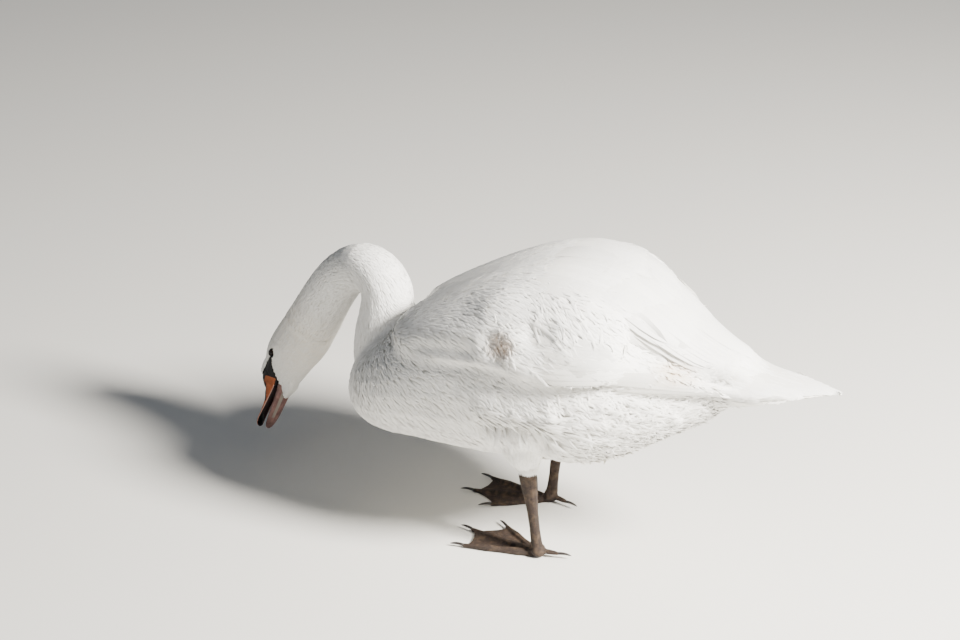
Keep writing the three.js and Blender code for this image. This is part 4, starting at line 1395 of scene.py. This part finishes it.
class SWAN_OT_coverts(bpy.types.Operator):
    """Smooth feathers of the shoulders and back, and the loose coverts on the side of each wing"""

    bl_idname = "swan.coverts"
    bl_label = "Wing coverts"

    def execute(self, context):
        sizes = context.scene.swan_plumage
        # Coverts: firmer, smoother vanes than the body's, so a little less matt.
        firm = feather_material("wing coverts", tuple(sizes.white), tuple(sizes.down), 0.6, BARB_DEPTH)
        x, y, z = middles_of_form()
        wing = form.within("wing")
        loose = wing & (x > 22) & (z > 312) & (z < 404) & (np.abs(y) > 60)
        under_hand = wing & (x > 44) & (z < 304)
        smooth = (wing & ~loose & ~under_hand) | (form.within("trunk") & on_back(x, z))
        back = np.clip((x + 150) / 200, 0, 1)  # they are longer and wider further back
        coat_piece("coverts_smooth", smooth, LOCK_OUTLINE, firm, 81, spacing=3.0 + 0.9 * back,
                   length=24 + 14 * back, width=4.6 + 2.6 * back, thick=0.22, sway=7, lift=0.2, depth=2.6,
                   tip=-0.2, roundness=0.35)
        # Behind, they are shorter and closer where the surface turns down to the side.
        flat = np.clip((form.normals[form.quads[:, 0], 2] - 0.3) / 0.4, 0, 1)
        coat_piece("coverts_back", form.within("tertials"), LEAF_OUTLINE, firm, 86,
                   spacing=3.6 + 2.4 * flat, length=16 + 22 * flat, width=6 + 6 * flat, thick=0.3,
                   sway=6, lift=0.2, depth=1.8, tip=-0.5)
        coat_piece("coverts_loose", loose, LOCK_OUTLINE, firm, 91, spacing=3.4,
                   length=sizes.covert_length * 1000, width=6.4, thick=0.28, sway=10, lift=1.0, depth=2.6,
                   tip=0, curl=14)
        # Feathers that stand every way round the muddy bend of the wing.
        bend = wing & ((x + 4) ** 2 + (z - 336) ** 2 < 24**2) & (np.abs(y) > 100)
        coat_piece("coverts_bend", bend, LOCK_OUTLINE, firm, 95, spacing=3.8, length=17, width=4.4,
                   thick=0.3, sway=30, lift=1.6, depth=2, tip=0.6, curl=26,
                   roundness=0.6)
        return {"FINISHED"}


class SWAN_OT_long_feathers(bpy.types.Operator):
    """The cloak of long feathers over the back, the folded quills and the pointed tail"""

    bl_idname = "swan.long_feathers"
    bl_label = "Long feathers"

    def execute(self, context):
        sizes = context.scene.swan_plumage
        # Flight feathers: close-knit vanes with a faint satin gloss along the barbs.
        vane = feather_material("flight feather vanes", tuple(sizes.flight), tuple(sizes.down), 0.5,
                                BARB_DEPTH)
        for name, side in SIDES.items():
            cloak = [laid([fan], side, 100 + k, thick=0.45) for k, fan in enumerate(CLOAK + SCAPULARS)]
            vane_piece(f"cloak_{name}", cloak, vane)
            vane_piece(f"quills_{name}", [laid(HAND, side, 120), laid(QUILLS, side, 121)], vane)
        vane_piece("cloak_middle", [laid(MIDDLE, 1, 125)], vane)
        tail = [laid(fans, side, 130) for fans in (TAIL_TOP, TAIL_UNDER) for side in SIDES.values()]
        vane_piece("tail_feathers", tail, vane)
        return {"FINISHED"}


def bill_material(name, side, black, rim, inside):
    """Smooth horny bill skin with fine lengthwise grain, black at its base, with a paler band along the
    cutting edge: a painted highlight on the upper half, the web's own grey on the lower.
    """
    material, tree, shader = new_material(name, side, 0.45, Specular_IOR_Level=0.13)
    where = node(tree, "TexCoord").outputs["Object"]
    above = node(tree, "Attribute", attribute_name="above").outputs["Fac"]
    ahead = node(tree, "Attribute", attribute_name="ahead").outputs["Fac"]
    streaks = {"Vector": where, "Scale": GRAIN_SCALE, "Detail": 4.0, "Roughness": 0.6}
    grain = node(tree, "TexNoise", streaks).outputs[0]
    dark = node(tree, "MapRange", {0: grain, 1: 0.35, 2: 0.7, 3: 0.5, 4: 1.1}).outputs[0]
    grey = node(tree, "CombineColor", {0: dark, 1: dark, 2: dark}).outputs[0]
    layers = {0: 1.0, 6: (*side, 1), 7: grey}
    made = node(tree, "Mix", layers, data_type="RGBA", blend_type="MULTIPLY").outputs[2]
    # A band just above the cutting edge takes the rim colour: on the upper half a painted highlight, on the
    # lower half the web's own grey.
    pale = node(tree, "MapRange", {0: above, 1: 0.7, 2: 2.0, 3: 1.0, 4: 0.0}).outputs[0]
    made = node(tree, "Mix", {0: pale, 6: made, 7: (*rim, 1)}, data_type="RGBA").outputs[2]
    # Painted shade: points inside the mouth take the dark colour of the mouth's shaded lining.
    mouth = node(tree, "MapRange", {0: above, 1: -0.6, 2: -0.2, 3: 1.0, 4: 0.0}).outputs[0]
    made = node(tree, "Mix", {0: mouth, 6: made, 7: (*inside, 1)}, data_type="RGBA").outputs[2]
    # The edge of the black wanders up to 2 mm either way with the grain.
    wavy = node(tree, "Math", {0: grain, 1: 4.0, 2: -2.0}, operation="MULTIPLY_ADD").outputs[0]
    start = node(tree, "Math", {0: ahead, 1: wavy}, operation="ADD").outputs[0]
    base = node(tree, "MapRange", {0: start, 1: -0.6, 2: 0.6, 3: 1.0, 4: 0.0}).outputs[0]
    made = node(tree, "Mix", {0: base, 6: made, 7: (*black, 1)}, data_type="RGBA").outputs[2]
    tree.links.new(made, shader.inputs["Base Color"])
    bump = node(tree, "Bump", {"Strength": 0.6, "Distance": 0.0003, "Height": grain})
    tree.links.new(bump.outputs[0], shader.inputs["Normal"])
    return material


def black_material(name, black, roughness, wrinkle):
    """Bare black skin, dull and finely wrinkled. wrinkle is how deep the folds look, in metres."""
    material, tree, shader = new_material(name, black, roughness, Specular_IOR_Level=0.1)
    where = node(tree, "TexCoord").outputs["Object"]
    folds = node(tree, "TexNoise", {"Vector": where, "Scale": WRINKLE_SCALE, "Detail": 3.0}).outputs[0]
    bump = node(tree, "Bump", {"Strength": 1.0, "Distance": wrinkle, "Height": folds})
    tree.links.new(bump.outputs[0], shader.inputs["Normal"])
    return material


class SWAN_OT_bill(bpy.types.Operator):
    """The bill's two halves, its nail and knob, and the bare black lores"""

    bl_idname = "swan.bill"
    bl_label = "Bill"

    def execute(self, context):
        tones = context.scene.swan_bare
        black = tuple(tones.black)
        skin = black_material("bare black skin", black, 0.5, 0.00025)
        # A dark colour for the inside of the mouth: painted shade.
        mouth = linear("#2B1614")
        # The upper half's rim colour is a painted highlight along its cutting edge.
        horn = bill_material("orange bill skin", tuple(tones.bill), black, linear("#C79C8E"), mouth)
        grey = bill_material("grey bill skin", tuple(tones.mandible), black, linear("#8E857C"), mouth)
        upper_bill(horn)
        lower_bill(grey)
        knob = tube(sphere_rings(KNOB_AT, KNOB_REACH, 20, 24, np.eye(3)))
        new_piece("knob", in_head(knob[0]), knob[1:], skin, ["bill_knob"])
        # The nail is a hard shield over the bill's tip, which it hooks round.
        cos, sin = math.cos(NAIL_TILT), math.sin(NAIL_TILT)
        nail = tube(sphere_rings(NAIL_AT, NAIL_REACH, 20, 28, [[cos, 0, -sin], [0, 1, 0], [sin, 0, cos]]))
        new_piece("nail", in_head(nail[0]), nail[1:], skin, ["bill_nail"])
        for name, side in SIDES.items():
            lore(name, side, horn)
        return {"FINISHED"}


def upper_bill(material):
    """The upper half, with the mouth's lining, painted dark as shade, on the points that face down into it.
    """
    rings = maxilla_rings()
    rows, across = rings.shape[:2]
    points, *faces = tube(rings)
    inside = np.zeros(len(points), bool)
    inside[: rows * across] = np.tile(np.arange(across) > across / 2, rows)
    new_piece("upper_bill", in_head(points), faces, material, ["bill_upper"],
              marks=bill_marks(points, inside))


def lower_bill(material):
    """The lower half, with its black base. The web between its branches is marked as 0.6 mm above the
    cutting edge, so that it takes the rim's colour, and the rest as 5 mm."""
    points, *faces = tube(mandible_rings(GAPE))
    shut = tube(mandible_rings(0))[0]
    new_piece("lower_bill", in_head(points), faces, material, ["bill_lower"],
              marks={"ahead": shut[:, 0] - LOWER_BLACK, "above": 5 - 4.4 * sunken(shut)})


def lore(name, side, material, rows=46, across=30):
    """Bare skin that runs from the eye to the bill and round its base, laid on one side of the head."""
    s, t = np.meshgrid(np.linspace(0, 1, rows), np.linspace(0, 1, across), indexing="ij")
    x = BELOW_LORE[0][0] + s * LORE_LENGTH
    low, high = lore_edges(x)
    low = np.maximum(low, LORE_LOWEST)
    z = low - 0.5 + (high - low + 1) * t  # it goes half a millimetre in under the feathers
    off = 45  # millimetres from the head's middle, well outside the cheek
    starts = np.stack([x, np.full(x.shape, -side * off), z], -1).reshape(-1, 3)
    ways = np.broadcast_to(HEAD_AXES[1] * side, starts.shape)
    reach = form.dropped(in_head(starts), ways, 0.04)
    spots = in_head(starts) + ways * np.nan_to_num(reach)[:, None]
    normals = form.nearest(spots)[1]
    edge = np.minimum(t, 1 - t).ravel() * (high - low).ravel()
    deep = LORE_SUNK + LORE_EDGE_SUNK * np.clip(1 - edge / LORE_EDGE, 0, 1)
    points = spots - normals * deep[:, None]
    grid = np.arange(rows * across).reshape(rows, across)
    faces = np.stack([grid[:-1, :-1], grid[1:, :-1], grid[1:, 1:], grid[:-1, 1:]], -1).reshape(-1, 4)
    faces = faces[~np.isnan(reach)[faces].any(1)]
    margin = (z - np.maximum(low + LORE_STRIP, LORE_STRIP_TOP)).ravel()
    ahead = np.minimum(ahead_of_black(x.ravel(), z.ravel()), margin)
    marks = {"ahead": ahead, "above": np.full(len(points), 9.0)}  # none of it is near the cutting edge
    faces = faces if side < 0 else faces[:, ::-1]
    new_piece(f"lore_{name}", points, [faces], material, marks=marks)


def eye_material(iris):
    """Cornea over a dark brown iris: wet and mirror-smooth."""
    material, tree, shader = new_material("wet eye", iris, 0.05, IOR=1.376, Specular_IOR_Level=0.3)
    across = node(tree, "Attribute", attribute_name="across").outputs["Fac"]
    edge, end = PUPIL_EDGE
    pupil = node(tree, "MapRange", {0: across, 1: edge, 2: end, 3: 1.0, 4: 0.0}).outputs[0]
    layers = {0: pupil, 6: (*iris, 1), 7: (0.002, 0.002, 0.002, 1)}
    made = node(tree, "Mix", layers, data_type="RGBA").outputs[2]
    tree.links.new(made, shader.inputs["Base Color"])
    return material


class SWAN_OT_eyes(bpy.types.Operator):
    """Dark eyes with their lids"""

    bl_idname = "swan.eyes"
    bl_label = "Eyes"

    def execute(self, context):
        tones = context.scene.swan_bare
        wet = eye_material(tuple(tones.iris))
        lid_skin = black_material("eyelid skin", tuple(tones.black), 0.45, 0.00012)
        for name, side in SIDES.items():
            middle = np.array([EYE_AT[0], -side * EYE_AT[1], EYE_AT[2]])
            eyeball(name, side, middle, wet)
            eyelid(name, side, middle, lid_skin)
        return {"FINISHED"}


def eyeball(name, side, middle, material):
    """A ball. Each point is marked with how far it is from the middle of the pupil, in millimetres."""
    axes = [[0, -side, 0], [1, 0, 0], [0, 0, -side]]
    points, *faces = tube(sphere_rings(middle, (EYE_RADIUS,) * 3, 20, 28, axes))
    off = points - middle
    behind = off[:, 1] * -side < 0
    across = np.linalg.norm(off[:, [0, 2]], axis=1) + 20 * behind
    new_piece(f"eyeball_{name}", in_head(points), faces, material, [f"eye_{name}"],
              marks={"across": across})


def eyelid(name, side, middle, material):
    """Both lids as one ring of skin with an almond opening."""
    turn = np.linspace(0, 2 * math.pi, 40, endpoint=False)
    rings = []
    for long, tall, out in LID_RINGS:
        x = np.sign(np.cos(turn)) * np.abs(np.cos(turn)) ** 0.8 * long
        z = np.sin(turn) * tall
        # The ring that stands out furthest follows the ball, and the others are flat.
        lift = np.sqrt(np.maximum(out**2 - np.hypot(x, z) ** 2, 0.5)) if out > 6 else out * 0.75
        y = np.broadcast_to(middle[1] - side * lift, x.shape)
        rings.append(np.stack([middle[0] + x, y, middle[2] + z], -1))
    faces = band(len(rings), len(turn))[:, [0, 3, 2, 1]]
    faces = faces if side > 0 else faces[:, ::-1]
    new_piece(f"eyelid_{name}", in_head(np.concatenate(rings)), [faces], material)


def leg_material(leg):
    """Reticulate leg skin: small leathery plates about 2 mm across with paler patches over their tops, partly
    worn skin and partly painted highlight.
    """
    material, tree, shader = new_material("scaly leg skin", leg, 0.65, Specular_IOR_Level=0.3)
    where = node(tree, "TexCoord").outputs["Object"]
    cells = {"Vector": where, "Scale": PLATE_SCALE}
    plates = node(tree, "TexVoronoi", cells, feature="DISTANCE_TO_EDGE").outputs[0]
    wear_and_highlight = node(tree, "TexNoise", {"Vector": where, "Scale": WEAR_AND_HIGHLIGHT_SCALE, "Detail": 4.0}).outputs[0]
    top = node(tree, "MapRange", {0: plates, 1: 0.0, 2: 0.18, 3: 0.0, 4: 1.0}).outputs[0]
    # Painted highlight, partly real wear: paler patches scattered over the leg skin.
    pale = node(tree, "MapRange", {0: wear_and_highlight, 1: 0.46, 2: 0.72, 3: 0.0, 4: 0.6}).outputs[0]
    groove, worn_and_highlit = (*linear("#1B1412"), 1), (*linear("#5C4A3A"), 1)
    dark = node(tree, "Mix", {0: top, 6: groove, 7: (*leg, 1)}, data_type="RGBA").outputs[2]
    made = node(tree, "Mix", {0: pale, 6: dark, 7: worn_and_highlit}, data_type="RGBA").outputs[2]
    tree.links.new(made, shader.inputs["Base Color"])
    high = node(tree, "Math", {0: top, 1: wear_and_highlight}, operation="ADD").outputs[0]
    bump = node(tree, "Bump", {"Strength": 0.9, "Distance": 0.0004, "Height": high})
    tree.links.new(bump.outputs[0], shader.inputs["Normal"])
    return material


class SWAN_OT_feet(bpy.types.Operator):
    """Leathery legs and webbed feet in one skin each, with their claws"""

    bl_idname = "swan.feet"
    bl_label = "Legs and feet"

    def execute(self, context):
        leather = leg_material(tuple(context.scene.swan_bare.leg))
        for name in SIDES:
            solids = [f"shank_{name}", f"foot_{name}"]
            points, quads = one_surface(solids, voxel=0.0013, swell=0.0006, times=2)
            new_piece(f"leg_{name}", points, [quads], leather, solids)
        # Claw horn: smooth and hard, with a low gloss.
        horn = new_material("claw horn", linear("#241F1E"), 0.35, IOR=1.55)[0]
        for name in frame["nodes"]:
            if name.startswith("claw"):
                claw(name, horn)
        return {"FINISHED"}


# The claw in metres: how far it goes back into the toe, how much it bows up, and its radius there.
CLAW_SUNK, CLAW_BOW, CLAW_RADIUS = 0.006, 0.0012, 0.0021


def claw(name, horn):
    """A curved claw that grows out of its toe's end, where the CAD's claw is."""
    solid = node_mesh(name)[0]
    low, high = np.asarray(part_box("foot_" + name.split("_")[1]), float)
    heel = (low + high) / 2 * [1, 1, 0]
    far = np.linalg.norm((solid - heel)[:, :2], axis=1)
    tip, base = solid[far.argmax()], solid[far < far.min() + 0.004].mean(0)
    way = unit(tip - base)
    t = np.linspace(0, 1, 16)[:, None]
    line = base - way * CLAW_SUNK + (tip - base + way * CLAW_SUNK) * t
    line[:, 2] += CLAW_BOW * np.sin(math.pi * t[:, 0])
    radius = CLAW_RADIUS * (1 - t**2.2) ** 0.6
    turn = np.linspace(0, 2 * math.pi, 14, endpoint=False)
    aside = unit(np.cross(way, [0, 0, 1]))
    up = np.cross(aside, way)
    ring = np.cos(turn)[:, None] * aside * 0.85 + np.sin(turn)[:, None] * up
    points, *faces = tube(line[:, None] + ring * radius[:, None])
    new_piece(f"{name}_horn", points, faces, horn, [name])


# The stage, in metres.
FLOOR_HALF = 6
KEY_AT, KEY_TO, KEY_ACROSS, KEY_TINT = (2.3, -0.35, 1.85), (0, 0, 0.25), 0.7, (1.0, 0.96, 0.9)
FILL_AT, FILL_TO, FILL_ACROSS, FILL_TINT = (-1.6, -2.4, 1.3), (0, 0, 0.2), 1.8, (0.88, 0.94, 1.0)
SKY, SKY_STRENGTH = (0.80, 0.87, 1.0, 1), 0.2
CAMERA_AT = (1.105, -2.499, 1.519)
CAMERA_TURN, CAMERA_DIP = math.radians(25), math.radians(24)  # from the bird's left, and down
LENS, SENSOR = 85.43, 36  # millimetres


def staged(name, data, where, way):
    """An object of the stage that looks along a way from its place."""
    obj = bpy.data.objects.new(name, data)
    bpy.context.scene.collection.objects.link(obj)
    obj.location = where
    obj.rotation_mode = "QUATERNION"
    obj.rotation_quaternion = Vector(way).to_track_quat("-Z", "Y")
    return obj


def area_light(name, where, target, across, power, tint):
    """A round soft light that points at a place."""
    light = bpy.data.lights.new(name, "AREA")
    light.shape = "DISK"
    light.size = across
    light.energy = power
    light.color = tint
    staged(name, light, where, np.asarray(target, float) - where)


class SWAN_OT_stage(bpy.types.Operator):
    """Pale floor, soft studio light and the camera"""

    bl_idname = "swan.stage"
    bl_label = "Stage"

    def execute(self, context):
        look = context.scene.swan_stage
        far = FLOOR_HALF
        mesh = bpy.data.meshes.new("floor")
        mesh.from_pydata([(-far, -far, 0), (far, -far, 0), (far, far, 0), (-far, far, 0)], [], [(0, 1, 2, 3)])
        mesh.materials.append(new_material("matt studio floor", tuple(look.floor), 0.9)[0])
        floor = bpy.data.objects.new("floor", mesh)
        context.scene.collection.objects.link(floor)
        world = bpy.data.worlds.new("studio")
        world.use_nodes = True
        background = world.node_tree.nodes["Background"]
        background.inputs["Color"].default_value = SKY
        background.inputs["Strength"].default_value = SKY_STRENGTH
        context.scene.world = world
        area_light("key", KEY_AT, KEY_TO, KEY_ACROSS, look.key, KEY_TINT)
        area_light("fill", FILL_AT, FILL_TO, FILL_ACROSS, look.fill, FILL_TINT)
        camera = bpy.data.cameras.new("camera")
        camera.lens = LENS
        camera.sensor_width = SENSOR
        level = math.cos(CAMERA_DIP)
        way = (-math.sin(CAMERA_TURN) * level, math.cos(CAMERA_TURN) * level, -math.sin(CAMERA_DIP))
        context.scene.camera = staged("camera", camera, CAMERA_AT, way)
        return {"FINISHED"}


STEPS = (
    SWAN_OT_skin, SWAN_OT_coat, SWAN_OT_coverts, SWAN_OT_long_feathers, SWAN_OT_bill, SWAN_OT_eyes,
    SWAN_OT_feet, SWAN_OT_stage,
)


class SWAN_PT_panel(bpy.types.Panel):
    """Steps and settings of the swan"""

    bl_label = "Swan"
    bl_space_type = "VIEW_3D"
    bl_region_type = "UI"
    bl_category = "Swan"

    def draw(self, context):
        for step in STEPS:
            self.layout.operator(step.bl_idname)
        for group in ("swan_plumage", "swan_bare", "swan_stage"):
            settings = getattr(context.scene, group)
            for key in settings.bl_rna.properties.keys():
                if key not in ("rna_type", "name"):
                    self.layout.prop(settings, key)


GROUPS = {"swan_plumage": SwanPlumage, "swan_bare": SwanBareParts, "swan_stage": SwanStage}


def register():
    """Registers every class and hangs the settings on the scene."""
    for cls in (*GROUPS.values(), *STEPS, SWAN_PT_panel):
        bpy.utils.register_class(cls)
    for key, cls in GROUPS.items():
        setattr(bpy.types.Scene, key, PointerProperty(type=cls))


def unregister():
    """Takes away what register() made."""
    for key in GROUPS:
        delattr(bpy.types.Scene, key)
    for cls in (SWAN_PT_panel, *reversed(STEPS), *reversed(GROUPS.values())):
        bpy.utils.unregister_class(cls)


def main():
    """Builds the whole scene."""
    register()
    for step in STEPS:
        family, name = step.bl_idname.split(".")
        getattr(getattr(bpy.ops, family), name)()


if __name__ == "__main__":
    main()
